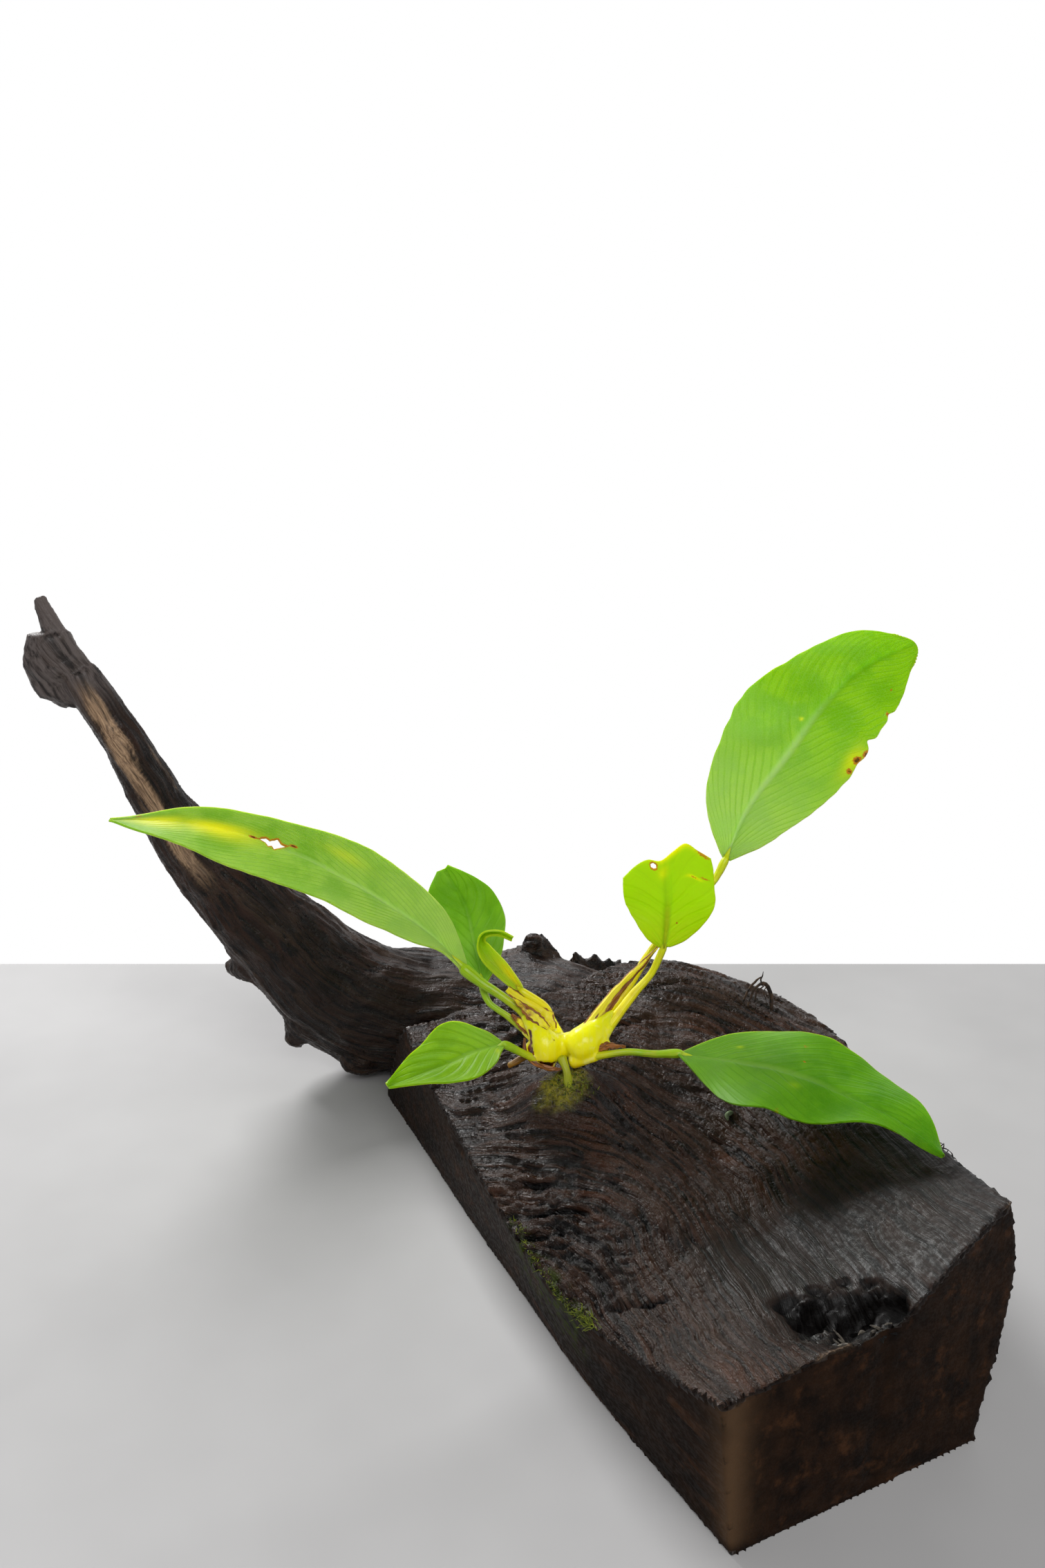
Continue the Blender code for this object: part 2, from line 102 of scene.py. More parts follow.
def linear(hex_colour: str) -> tuple[float, float, float, float]:
    """Turns an sRGB hex colour into linear light.

    Args:
        hex_colour: six hex digits after a hash, such as "#2a1c16".

    Returns:
        Red, green, blue and an alpha of 1, as a shader's colour socket takes them.
    """
    values = [int(hex_colour[i:i + 2], 16) / 255 for i in (1, 3, 5)]
    return (*(v / 12.92 if v <= 0.04045 else ((v + 0.055) / 1.055) ** 2.4 for v in values), 1.0)


def smooth_line(points: tuple, fractions: np.ndarray) -> np.ndarray:
    """Values along a smooth curve through equally spaced points.

    Args:
        points: the values that the curve passes through, numbers or tuples.
        fractions: where to read the curve, from 0 at its start to 1 at its end.

    Returns:
        One row of values for each fraction.
    """
    values = np.asarray(points, dtype=float).reshape(len(points), -1)
    padded = np.concatenate(([2 * values[0] - values[1]], values, [2 * values[-1] - values[-2]]))
    place = np.clip(np.atleast_1d(fractions), 0.0, 1.0) * (len(values) - 1)
    first = np.minimum(place.astype(int), len(values) - 2)
    t = (place - first)[:, None]
    before, start, end, after = (padded[first + i] for i in range(4))
    return 0.5 * (2 * start + (end - before) * t
                  + (2 * before - 5 * start + 4 * end - after) * t ** 2
                  + (3 * start - before - 3 * end + after) * t ** 3)


def rise(low: float, high: float, value: np.ndarray) -> np.ndarray:
    """Smooth rise from 0 where value is low to 1 where it is high."""
    t = np.clip((value - low) / (high - low), 0.0, 1.0)
    return t * t * (3 - 2 * t)


SLOPES = np.array([p for p in itertools.product((-1, 0, 1), repeat=3)
                   if sum(map(abs, p)) == 2], dtype=float)


def noise(points: np.ndarray, seed: int = 0) -> np.ndarray:
    """Smooth gradient noise.

    Args:
        points: (n, 3) places, in cells of the noise.
        seed: another number gives another pattern.

    Returns:
        One value of about -1 to 1 for each place.
    """
    cell = np.floor(points).astype(np.int64)
    inside = points - cell
    fade = inside ** 3 * (inside * (inside * 6 - 15) + 10)
    total = np.zeros(len(points))
    for corner in itertools.product((0, 1), repeat=3):
        x, y, z = (cell + corner).T
        mixed = (x * 73856093) ^ (y * 19349663) ^ (z * 83492791)
        mixed = (mixed ^ (seed * 40503 + 977)) & 0x7FFFFFFF
        mixed = ((mixed ^ (mixed >> 13)) * 1274126177) & 0x7FFFFFFF
        slope = SLOPES[(mixed ^ (mixed >> 16)) % len(SLOPES)]
        weight = np.prod(np.where(corner, fade, 1 - fade), axis=1)
        total += weight * np.einsum("ij,ij->i", slope, inside - corner)
    return 1.5 * total


def layered(points: np.ndarray, octaves: int, seed: int = 0, ridged: bool = False) -> np.ndarray:
    """Noise in several octaves, each half as wide and half as high as the one before.

    Args:
        points: (n, 3) places, in cells of the coarsest octave.
        octaves: how many octaves.
        seed: another number gives another pattern.
        ridged: sharp crests with round hollows between them.

    Returns:
        One value of about -1 to 1 for each place.
    """
    layers = [noise(points * 2 ** i, seed + i) for i in range(octaves)]
    heights = [0.5 ** i for i in range(octaves)]
    total = sum(h * (1 - 2.6 * np.abs(n) if ridged else n) for h, n in zip(heights, layers))
    return total / sum(heights)


def near_line(points: np.ndarray, line: tuple) -> tuple[np.ndarray, np.ndarray]:
    """How far points are from a line of straight stretches.

    Args:
        points: (n, k) places.
        line: the line's corners, each of k numbers.

    Returns:
        The distance of each point, and where along the line it is nearest, 0 to 1.
    """
    best = np.full(len(points), np.inf)
    place = np.zeros(len(points))
    corners = np.asarray(line, dtype=float)
    for i, (start, end) in enumerate(zip(corners, corners[1:])):
        way = end - start
        t = np.clip((points - start) @ way / (way @ way), 0, 1)
        distance = np.linalg.norm(points - start - t[:, None] * way, axis=1)
        closer = distance < best
        best[closer] = distance[closer]
        place[closer] = ((i + t) / (len(corners) - 1))[closer]
    return best, place


def line_frames(points: tuple, count: int) -> tuple[list, list]:
    """Evenly spaced places along a smooth line, each with its direction and two axes across.

    Args:
        points: the line's points.
        count: how many places.

    Returns:
        The fractions of the places, and (centre, along, side, up) vectors for each.
    """
    steps = np.linspace(0, 1, 240)
    line = smooth_line(points, steps)
    travelled = np.concatenate(([0], np.cumsum(np.linalg.norm(np.diff(line, axis=0), axis=1))))
    fractions = np.interp(np.linspace(0, travelled[-1], count), travelled, steps)
    centres = [Vector(p) for p in smooth_line(points, fractions).tolist()]
    frames = []
    side = Vector((1, 0, 0))
    for i, centre in enumerate(centres):
        along = (centres[min(i + 1, count - 1)] - centres[max(i - 1, 0)]).normalized()
        if i == 0:
            side = along.cross(Vector((0, 0, 1) if abs(along.z) < 0.8 else (0, 1, 0)))
        side = (side - along * side.dot(along)).normalized()
        frames.append((centre, along, side, side.cross(along)))
    return fractions.tolist(), frames


def block_point(across: float, along: float, height: float) -> tuple[float, float, float]:
    """A point given across and along the block from its nearest corner."""
    cos, sin = math.cos(BLOCK_TURN), math.sin(BLOCK_TURN)
    return (BLOCK_CORNER[0] + cos * across - sin * along,
            BLOCK_CORNER[1] + sin * across + cos * along, height)


def block_way(across: float, along: float) -> Vector:
    """A level direction given across and along the block."""
    return Vector(block_point(across, along, 0)) - Vector(block_point(0, 0, 0))


def astray(rng: np.random.Generator, spread: float) -> Vector:
    """A random step, drawn with this spread on each axis."""
    return Vector(rng.normal(0, spread, 3).tolist())


# Mesh building


def as_mesh(name: str, bm: bmesh.types.BMesh) -> bpy.types.Mesh:
    """A new mesh of a bmesh, which is freed."""
    mesh = bpy.data.meshes.new(name)
    bm.to_mesh(mesh)
    bm.free()
    return mesh


def as_object(name: str, data: bpy.types.ID) -> bpy.types.Object:
    """A new object in the scene that shows a mesh, a lamp or a camera."""
    shown = bpy.data.objects.new(name, data)
    bpy.context.scene.collection.objects.link(shown)
    return shown


def move_verts(verts: list, places: np.ndarray) -> None:
    """Puts each vertex at its row of places."""
    for vert, place in zip(verts, places.tolist()):
        vert.co = place


def add_rod(bm: bmesh.types.BMesh, points: tuple, radii: tuple, rings: int, sides: int,
            rough: float = 0.0, seed: int = 0) -> None:
    """Adds a closed, round, tapering rod to a bmesh, with a map: u round it, v along it.

    Args:
        bm: the mesh that takes the rod.
        points: the rod's centre line.
        radii: its radius at equally spaced fractions of the line.
        rings: how many rings of vertices, besides the domed ends' of all but the thinnest.
        sides: how many vertices in a ring.
        rough: height of uneven swells of the surface.
        seed: pattern of the swells.
    """
    uv = bm.loops.layers.uv.verify()
    fractions, frames = line_frames(points, rings)
    sizes = smooth_line(radii, np.array(fractions))[:, 0].tolist()
    stations = [(f, size, centre, side, up)
                for f, size, (centre, _along, side, up) in zip(fractions, sizes, frames)]
    if sides > 6:
        for reach, share in ((0.35, 0.8), (0.55, 0.45)):
            for end, sign in ((0, -1), (-1, 1)):
                centre, along, side, up = frames[end]
                dome = (fractions[end], share * sizes[end],
                        centre + along * (sign * reach * sizes[end]), side, up)
                stations.insert(len(stations) if sign > 0 else 0, dome)
    place = {}
    loops = []
    for fraction, size, centre, side, up in stations:
        ring = []
        for i in range(sides):
            turn = 2 * math.pi * i / sides
            vert = bm.verts.new(centre + size * (math.cos(turn) * side + math.sin(turn) * up))
            place[vert] = (i / sides, fraction)
            ring.append(vert)
        loops.append([bm.edges.new((ring[i - 1], ring[i])) for i in range(sides)])
    faces = []
    for near, far in zip(loops, loops[1:]):
        faces += bmesh.ops.bridge_loops(bm, edges=near + far)["faces"]
    for end in (loops[0], loops[-1]):
        faces += bmesh.ops.edgeloop_fill(bm, edges=end)["faces"]
    for face in faces:
        for corner in face.loops:
            corner[uv].uv = place[corner.vert]
    if rough:
        verts = list(place)
        spots = np.array([v.co for v in verts])
        for axis in range(3):
            moves = rough * layered(spots / 3.0 + 17.0 * axis, 2, seed)
            for vert, move in zip(verts, moves.tolist()):
                vert.co[axis] += move
    bmesh.ops.recalc_face_normals(bm, faces=faces)


def fused(bm: bmesh.types.BMesh, voxel: float) -> bpy.types.Mesh:
    """Makes one closed skin of a bmesh's overlapping bodies.

    Args:
        bm: the bodies. It is freed.
        voxel: size of the cells that the skin is made in.

    Returns:
        The skin, a new mesh.
    """
    mesh = as_mesh("bodies", bm)
    holder = as_object("bodies", mesh)
    remesh = holder.modifiers.new("Skin", "REMESH")
    remesh.mode = "VOXEL"
    remesh.voxel_size = voxel
    graph = bpy.context.evaluated_depsgraph_get()
    skin = bpy.data.meshes.new_from_object(holder.evaluated_get(graph))
    bpy.data.objects.remove(holder)
    bpy.data.meshes.remove(mesh)
    return skin


def marked_mesh() -> bmesh.types.BMesh:
    """An empty bmesh whose vertices take marks."""
    bm = bmesh.new()
    for name in ("along", "across", "yellow", "scar"):
        bm.verts.layers.float.new(name)
    bm.verts.layers.float_vector.new("outward")
    bm.loops.layers.uv.verify()
    return bm


def set_marks(bm: bmesh.types.BMesh, verts: list, marks: dict) -> None:
    """Stores numbers on vertices.

    Args:
        bm: the mesh.
        verts: its vertices that take the numbers.
        marks: for each mark's name, one number for each vertex.
    """
    for name, values in marks.items():
        layer = bm.verts.layers.float[name]
        for vert, value in zip(verts, values.tolist()):
            vert[layer] = value


def thicken(bm: bmesh.types.BMesh, sheet: list, thickness: float,
            ridge: Callable | None = None) -> None:
    """Gives an open sheet a thickness on its lower side, and a map: u across it, v along it.

    Args:
        bm: a marked mesh.
        sheet: the sheet's vertices.
        thickness: of the sheet.
        ridge: height of a ridge on the lower side, from along and across.
    """
    along, across = (bm.verts.layers.float[name] for name in ("along", "across"))
    outward = bm.verts.layers.float_vector["outward"]
    bm.normal_update()
    for vert in sheet:
        vert[outward] = vert.normal
    upper = list({f for v in sheet for f in v.link_faces})
    made = bmesh.ops.extrude_face_region(bm, geom=upper, use_keep_orig=True)["geom"]
    lower = [g for g in made if isinstance(g, bmesh.types.BMVert)]
    for vert in lower:
        extra = ridge(vert[along], vert[across]) if ridge else 0.0
        vert.co -= vert[outward] * (thickness + extra)
    for face in (g for g in made if isinstance(g, bmesh.types.BMFace)):
        face.material_index = 1
    faces = list({f for v in (*sheet, *lower) for f in v.link_faces})
    bmesh.ops.recalc_face_normals(bm, faces=faces)
    uv = bm.loops.layers.uv.verify()
    for face in faces:
        for loop in face.loops:
            loop[uv].uv = ((loop.vert[across] + 1) / 2, loop.vert[along])


def finish_piece(name: str, bm: bmesh.types.BMesh, materials: list,
                 replaced: tuple = ()) -> bpy.types.Object:
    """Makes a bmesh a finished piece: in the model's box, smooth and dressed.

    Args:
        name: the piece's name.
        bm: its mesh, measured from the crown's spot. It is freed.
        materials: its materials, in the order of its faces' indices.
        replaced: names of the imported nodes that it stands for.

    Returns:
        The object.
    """
    bmesh.ops.translate(bm, verts=bm.verts, vec=CROWN)
    bmesh.ops.scale(bm, verts=bm.verts, vec=(MM, MM, MM))
    mesh = as_mesh(name, bm)
    places = np.empty(3 * len(mesh.vertices), dtype=np.float32)
    mesh.vertices.foreach_get("co", places)
    low, high = (np.array(corner, dtype=np.float32) for corner in CAD_BOX)
    mesh.vertices.foreach_set("co", np.clip(places.reshape(-1, 3), low, high).ravel())
    mesh.shade_smooth()
    mesh.set_sharp_from_angle(angle=SHARP)
    for material in materials:
        mesh.materials.append(material)
    piece = as_object(name, mesh)
    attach(piece, "root")
    if replaced:
        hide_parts(*replaced)
    log.info("%s: %d triangles", name, sum(len(p.vertices) - 2 for p in mesh.polygons))
    return piece


# Finishes


def add_node(tree: bpy.types.NodeTree, kind: str, *values: object, out: int | str = 0,
             sockets: dict | None = None, stops: Iterable = (), **settings: object) -> object:
    """Adds a node with its settings and links.

    Args:
        tree: the material's or world's node tree.
        kind: the node's type name without "ShaderNode".
        *values: numbers, hex colours or sockets for the node's first inputs, in order.
        out: which output to give.
        sockets: values for other inputs, by name or number.
        stops: the places and hex colours of a colour ramp.
        **settings: the node's own properties.

    Returns:
        The chosen output socket, or None from an output node.
    """
    node = tree.nodes.new(f"ShaderNode{kind}")
    for name, value in settings.items():
        setattr(node, name, value)
    for key, value in {**dict(enumerate(values)), **(sockets or {})}.items():
        if isinstance(value, bpy.types.NodeSocket):
            tree.links.new(value, node.inputs[key])
        else:
            node.inputs[key].default_value = linear(value) if isinstance(value, str) else value
    for i, (place, colour) in enumerate(stops):
        ramp = node.color_ramp.elements
        stop = ramp[i] if i < 2 else ramp.new(place)
        stop.position = place
        stop.color = linear(colour)
    return node.outputs[out] if node.outputs else None


SMOOTH = {"interpolation_type": "SMOOTHSTEP"}
TIMES = {"operation": "MULTIPLY"}
TIMES_PLUS = {"operation": "MULTIPLY_ADD"}


@dataclass(frozen=True)
class Finish:
    """A named material, whose nodes a finish of one kind adds in its paint method."""

    name: str

    def make(self) -> bpy.types.Material:
        """Makes the material."""
        material = bpy.data.materials.new(self.name)
        material.use_nodes = True
        material.node_tree.nodes.clear()
        add = partial(add_node, material.node_tree)
        add("OutputMaterial", self.paint(add))
        return material

    def paint(self, add: Callable) -> bpy.types.NodeSocket:
        """Adds the finish's nodes and gives its shader."""
        raise NotImplementedError

    @staticmethod
    def coat(add: Callable, ground: object, *coats: tuple) -> object:
        """Lays coats of colour over a ground.

        Args:
            add: adds a node to the material.
            ground: the first colour, a hex string or a socket.
            *coats: for each coat, its colour and what its cover is the product of.

        Returns:
            The colour socket.
        """
        for colour, cover, *factors in coats:
            for factor in factors:
                cover = add("Math", cover, factor, **TIMES)
            ground = add("Mix", cover, sockets={6: ground, 7: colour}, data_type="RGBA", out=2)
        return ground


@dataclass(frozen=True)
class Bogwood(Finish):
    """Waterlogged driftwood, dark with tannin and damp, weathered along its grain.

    To the eye it is nearly black, with a wet blue-grey sheen on its crests, red-brown where it
    is rubbed, and smooth and streaky where a saw has cut it. Light and shade are partly painted
    into its colour: a paler grey on the crests for their sheen, near-black in its creases,
    crevices and low hollows for shade, and a paler grey on the fork's tip for the sky light that
    it catches.
    """

    specular: float                # of the wet film on it
    black: str = "#060403"
    umber: str = "#402a1e"
    russet: str = "#4c2b1a"
    # painted highlight: laid on the crests to stand in for their wet sheen
    grey: str = "#42372f"
    limb_brown: str = "#3d2c20"
    # painted shade, laid in the creases between bundles and in the low hollows
    shade: str = "#030202"
    crevice_shade: str = "#020101"
    # painted highlight: a paler grey for the sky light that the fork's tip catches
    dry: str = "#625956"
    rotten: str = "#2e2722"
    sawn_dark: str = "#150e0a"
    sawn_light: str = "#2a1b11"
    sawn_streak: str = "#543621"
    sawn_edge: str = "#5c4632"
    tan: tuple = ("#6b5440", "#bc9c7c")
    algae: tuple = ("#161c08", "#39440f")
    slime: tuple = ("#3a380e", "#8c8422")
    fibre_mm: float = 0.5          # width of one weathered fibre
    bundle_mm: float = 1.4         # width of a bundle of fibres
    fold_mm: float = 3.2           # width of a shrunken fold between deep creases
    band_mm: float = 6.0           # width of a year ring where it is sawn
    streak_mm: float = 4.5         # width of a lighter streak there
    relief_mm: float = 1.6         # height of the fine relief

    def paint(self, add: Callable) -> bpy.types.NodeSocket:
        """Reads the mesh's grain and its marks."""
        marks = ("sawn", "worn", "algae", "rot", "height", "limb", "dry", "arris", "stain",
                 "coarse")
        sawn, worn, algae, rot, height, limb, dry, arris, stain, coarse = (
            add("Attribute", attribute_name=mark, out="Fac") for mark in marks)
        grain = add("Attribute", attribute_name="grain", out="Vector")
        place = add("TexCoord", out="Object")
        fibre, bundle, fold, band, streak = (
            add("TexNoise", add("Mapping", grain, sockets={"Scale": (1 / w, 1 / w, 1 / long)}),
                sockets={"Scale": 1.0, "Detail": 4.0, "Roughness": 0.6})
            for w, long in ((self.fibre_mm, 12.0), (self.bundle_mm, 34.0), (self.fold_mm, 60.0),
                            (self.band_mm, 90.0), (self.streak_mm, 45.0)))
        blotch, speck, grit = (
            add("TexNoise", place, sockets={"Scale": scale, "Detail": 3.0, "Roughness": 0.6})
            for scale in (45.0, 700.0, 2200.0))

        tone = add("Math", bundle, 0.55, add("Math", fibre, 0.45, **TIMES), **TIMES_PLUS)
        bare = add("ValToRGB", tone, stops=((0.34, self.black), (0.66, self.umber)))
        bundles = add("MapRange", bundle, 0.35, 0.65, **SMOOTH)
        fibres = add("MapRange", fibre, 0.40, 0.62, **SMOOTH)
        patches = add("MapRange", blotch, 0.46, 0.66, **SMOOTH)
        crease = add("MapRange", bundle, 0.46, 0.36, **SMOOTH)
        crest = add("MapRange", height, 0.52, 0.85, **SMOOTH)
        cavity = add("MapRange", height, 0.42, 0.12, **SMOOTH)
        natural = self.coat(
            add, bare, (self.russet, patches, bundles, 0.6),
            (self.black, add("Math", coarse, -0.9, 0.9, **TIMES_PLUS)),
            (self.limb_brown, limb, add("MapRange", band, 0.48, 0.64, **SMOOTH), 0.7),
            # painted highlight: grey on the crests for their wet sheen; painted shade: near-black in
            # the creases between fibre bundles
            (self.grey, crest, fibres, 0.35), (self.shade, crease, 0.8),
            # painted shade: near-black in the deep creases between the shrunken folds
            (self.crevice_shade, add("MapRange", fold, 0.47, 0.36, **SMOOTH), 0.75),
            (self.rotten, rot, fibres, 0.75),
            # painted highlight: the paler grey on the fork's tip stands in for the sky light that it
            # catches
            (self.dry, dry, add("MapRange", bundle, 0.34, 0.62, 0.15, 1.0, **SMOOTH)),
            # painted shade: near-black where the relief is low, a little less in the rotted hollow
            (self.shade, cavity, add("Math", rot, -0.1, 1.0, **TIMES_PLUS)))
        cut = self.coat(
            add, add("ValToRGB", band, stops=((0.36, self.sawn_dark), (0.62, self.sawn_light))),
            (self.sawn_streak, add("MapRange", streak, 0.52, 0.72, **SMOOTH), 0.45),
            (self.sawn_dark, patches, 0.5), (self.black, fibres, 0.10),
            (self.sawn_edge, arris, 0.8))
        rubbed = add("ValToRGB", fibre, stops=zip((0.35, 0.65), self.tan))
        film = add("ValToRGB", speck, stops=zip((0.35, 0.62), self.algae))
        slime = add("ValToRGB", speck, stops=zip((0.34, 0.64), self.slime))
        colour = self.coat(
            add, natural, (cut, sawn),
            (rubbed, worn, add("MapRange", bundle, 0.22, 0.48, **SMOOTH)),
            (film, algae, add("MapRange", speck, 0.40, 0.56, **SMOOTH)),
            (slime, stain, add("MapRange", speck, 0.24, 0.44, **SMOOTH)))

        gloss = add("Math", fibre, 0.5, add("Math", speck, 0.5, **TIMES), **TIMES_PLUS)
        gloss = add("MapRange", gloss, 0.40, 0.60, 0.08, 0.34, **SMOOTH)
        gloss = add("Math", add("Math", coarse, -0.34, 0.34, **TIMES_PLUS), gloss,
                    operation="ADD")      # the calm parts are less wet
        relief = add("Math", bundle, 0.6, add("Math", fibre, 0.3, **TIMES), **TIMES_PLUS)
        relief = add("Math", fold, 1.0, relief, **TIMES_PLUS)
        relief = add("Math", speck, 0.35, relief, **TIMES_PLUS)
        relief = add("Math", grit, 0.08, relief, **TIMES_PLUS)
        relief = add("Math", relief, add("Math", coarse, 0.95, 0.05, **TIMES_PLUS), **TIMES)
        normal = add("Bump", sockets={"Height": relief, "Distance": self.relief_mm * MM,
                                      "Strength": 1.0})
        return add("BsdfPrincipled", sockets={
            "Base Color": colour, "Roughness": gloss, "Normal": normal,
            "IOR": 1.4, "Specular IOR Level": self.specular})


@dataclass(frozen=True)
class Waxy(Finish):
    """A leaf's skin: leathery, waxy and a little see-through, with fine slanting side veins.

    The veins read the blade's own map: u across it, 0.5 on the midrib, and v along it.
    """

    deep: str                      # between the veins
    light: str                     # where the blade is thin
    vein: str
    flush: str                     # colour of yellowed places
    length: float                  # of the blade
    under: bool = False
    dying: str = "#b5701a"         # round a scar
    dead: str = "#5a2c10"
    net_mm: float = 0.9            # width of a mesh of the veins' network
    relief_mm: float = 0.16        # height of the veins

    def paint(self, add: Callable) -> bpy.types.NodeSocket:
        """Reads the blade's map, and its yellow and scar marks."""
        mapped = add("TexCoord", out="UV")
        place = add("TexCoord", out="Object")
        along = add("SeparateXYZ", mapped, out="Y")
        across = add("Math", add("SeparateXYZ", mapped, out="X"), 2.0, -1.0, **TIMES_PLUS)
        across = add("Math", across, operation="ABSOLUTE")
        wander, blotch, grit = (
            add("TexNoise", place, sockets={"Scale": scale, "Detail": 3.0, "Roughness": 0.55})
            for scale in (50.0, 110.0, 1700.0))
        bend = add("Math", across, VEIN_BEND, operation="POWER")
        run = add("Math", bend, -VEIN_SLANT, along, **TIMES_PLUS)
        run = add("Math", wander, 0.060, run, **TIMES_PLUS)
        turns = 2 * math.pi * self.length / VEIN_MM
        main, fine = (add("Math", add("Math", run, turns * times, **TIMES), operation="SINE")
                      for times in (1.0, 5.0))
        uneven = add("MapRange", blotch, 0.35, 0.60, 0.35, 1.0, **SMOOTH)
        line = add("Math", add("MapRange", main, 0.55, 1.0, **SMOOTH), uneven, **TIMES)
        thin = add("MapRange", fine, 0.0, 1.0, **SMOOTH)
        rib = add("MapRange", across, 0.09, 0.015, **SMOOTH)
        pale = add("MapRange", along, 0.75, 0.35, **SMOOTH)
        cells = add("TexVoronoi", place, sockets={"Scale": 1 / (self.net_mm * MM)},
                    feature="DISTANCE_TO_EDGE")
        net = add("MapRange", cells, 0.10, 0.0, **SMOOTH)
        patches = add("MapRange", blotch, 0.38, 0.64, **SMOOTH)
        edge = add("MapRange", across, 0.45, 1.0, **SMOOTH)
        yellow, scar = (add("Attribute", attribute_name=mark, out="Fac")
                        for mark in ("yellow", "scar"))
        torn = add("Math", add("Math", grit, -0.5, operation="ADD"), 0.6, scar, **TIMES_PLUS)
        colour = self.coat(
            add, self.deep, (self.light, patches, 0.75), (self.light, edge, 0.30),
            # painted highlight: the vein colour over the blade's lower part stands in for the pale
            # sheen it catches
            (self.vein, add("MapRange", along, 0.60, 0.05, **SMOOTH), 0.35),
            (self.light, thin, 0.08), (self.deep, line, 0.45), (self.vein, net, 0.08),
            (self.deep, rib, 0.45), (self.vein, rib, pale, 0.50), (self.flush, yellow, 0.92),
            (self.dying, add("MapRange", torn, 0.30, 0.50, **SMOOTH)),
            (self.dead, add("MapRange", torn, 0.62, 0.80, **SMOOTH)))
        relief = add("Math", line, -0.5, add("Math", thin, 0.03, **TIMES), **TIMES_PLUS)
        relief = add("Math", rib, 1.0 if self.under else -0.8, relief, **TIMES_PLUS)
        relief = add("Math", grit, 0.04, relief, **TIMES_PLUS)
        shine = add("MapRange", grit, 0.3, 0.7, 0.38, 0.46, **SMOOTH)
        normal = add("Bump", sockets={"Height": relief, "Distance": self.relief_mm * MM,
                                      "Strength": 1.0})
        return add("BsdfPrincipled", sockets={
            "Base Color": colour, "Roughness": shine, "Normal": normal, "IOR": 1.4,
            "Specular IOR Level": 0.2, "Subsurface Weight": 0.7,
            "Subsurface Radius": (0.8, 1.0, 0.15), "Subsurface Scale": 3.0 * MM})


@dataclass(frozen=True)
class Fleshy(Finish):
    """A smooth, juicy stem or rhizome: fine lines along it and a soft gloss."""

    stops: tuple                   # colours from the foot, 0, to the tip, 1
    stain: str
    gloss: float = 0.34
    line: str = "#e4ea70"          # of the fine lines along it
    bruise: str = "#7a3c0c"
    dead: str = "#2c1408"

    def paint(self, add: Callable) -> bpy.types.NodeSocket:
        """Reads the piece's own map, v along it, and its scar marks."""
        mapped = add("TexCoord", out="UV")
        place = add("TexCoord", out="Object")
        blotch, fine = (
            add("TexNoise", place, sockets={"Scale": scale, "Detail": 3.0, "Roughness": 0.6})
            for scale in (300.0, 1600.0))
        around = add("SeparateXYZ", mapped, out="X")
        along = add("SeparateXYZ", mapped, out="Y")
        lines = add("Math", add("Math", around, 2 * math.pi * 16, **TIMES), operation="SINE")
        shift = add("Math", add("Math", blotch, -0.5, operation="ADD"), 0.22, along, **TIMES_PLUS)
        scar = add("Attribute", attribute_name="scar", out="Fac")
        worn = add("Math", add("Math", fine, -0.5, operation="ADD"), 0.7, scar, **TIMES_PLUS)
        colour = self.coat(
            add, add("ValToRGB", shift, stops=self.stops),
            (self.stain, add("MapRange", blotch, 0.54, 0.70, **SMOOTH), 0.5),
            (self.line, add("MapRange", lines, 0.3, 1.0, **SMOOTH), 0.08),
            (self.bruise, add("MapRange", worn, 0.30, 0.60, **SMOOTH)),
            (self.dead, add("MapRange", worn, 0.75, 0.95, **SMOOTH)))
        relief = add("Math", lines, 0.12, add("Math", fine, 0.4, **TIMES), **TIMES_PLUS)
        normal = add("Bump", sockets={"Height": relief, "Distance": 0.12 * MM, "Strength": 1.0})
        return add("BsdfPrincipled", sockets={
            "Base Color": colour, "Roughness": self.gloss, "Normal": normal, "IOR": 1.4,
            "Subsurface Weight": 0.3, "Subsurface Radius": (1.0, 0.9, 0.1),
            "Subsurface Scale": 1.5 * MM})


@dataclass(frozen=True)
class Papery(Finish):
    """A dry sheath, thin and streaky: yellow where it still lives, brown where it is dead."""

    alive: str = "#f4e414"
    dry: str = "#b06c1c"
    dark: str = "#4a240c"

    def paint(self, add: Callable) -> bpy.types.NodeSocket:
        """Reads the sheath's map, v along it, and its scar marks."""
        mapped = add("TexCoord", out="UV")
        place = add("TexCoord", out="Object")
        streak = add("TexNoise", add("Mapping", mapped, sockets={"Scale": (9.0, 1.2, 1.0)}),
                     sockets={"Scale": 1.0, "Detail": 3.0, "Roughness": 0.6})
        blotch = add("TexNoise", place, sockets={"Scale": 500.0, "Detail": 3.0})
        scar = add("Attribute", attribute_name="scar", out="Fac")
        share = add("Math", add("Math", blotch, -0.5, operation="ADD"), 1.1, scar, **TIMES_PLUS)
        dead = add("ValToRGB", streak, stops=((0.38, self.dark), (0.62, self.dry)))
        colour = self.coat(add, self.alive, (dead, add("MapRange", share, 0.30, 0.62, **SMOOTH)))
        normal = add("Bump", sockets={"Height": streak, "Distance": 0.2 * MM, "Strength": 1.0})
        return add("BsdfPrincipled", sockets={
            "Base Color": colour, "Roughness": 0.45, "Normal": normal,
            "Subsurface Weight": 0.15, "Subsurface Radius": (1.0, 0.6, 0.1),
            "Subsurface Scale": 1.0 * MM})


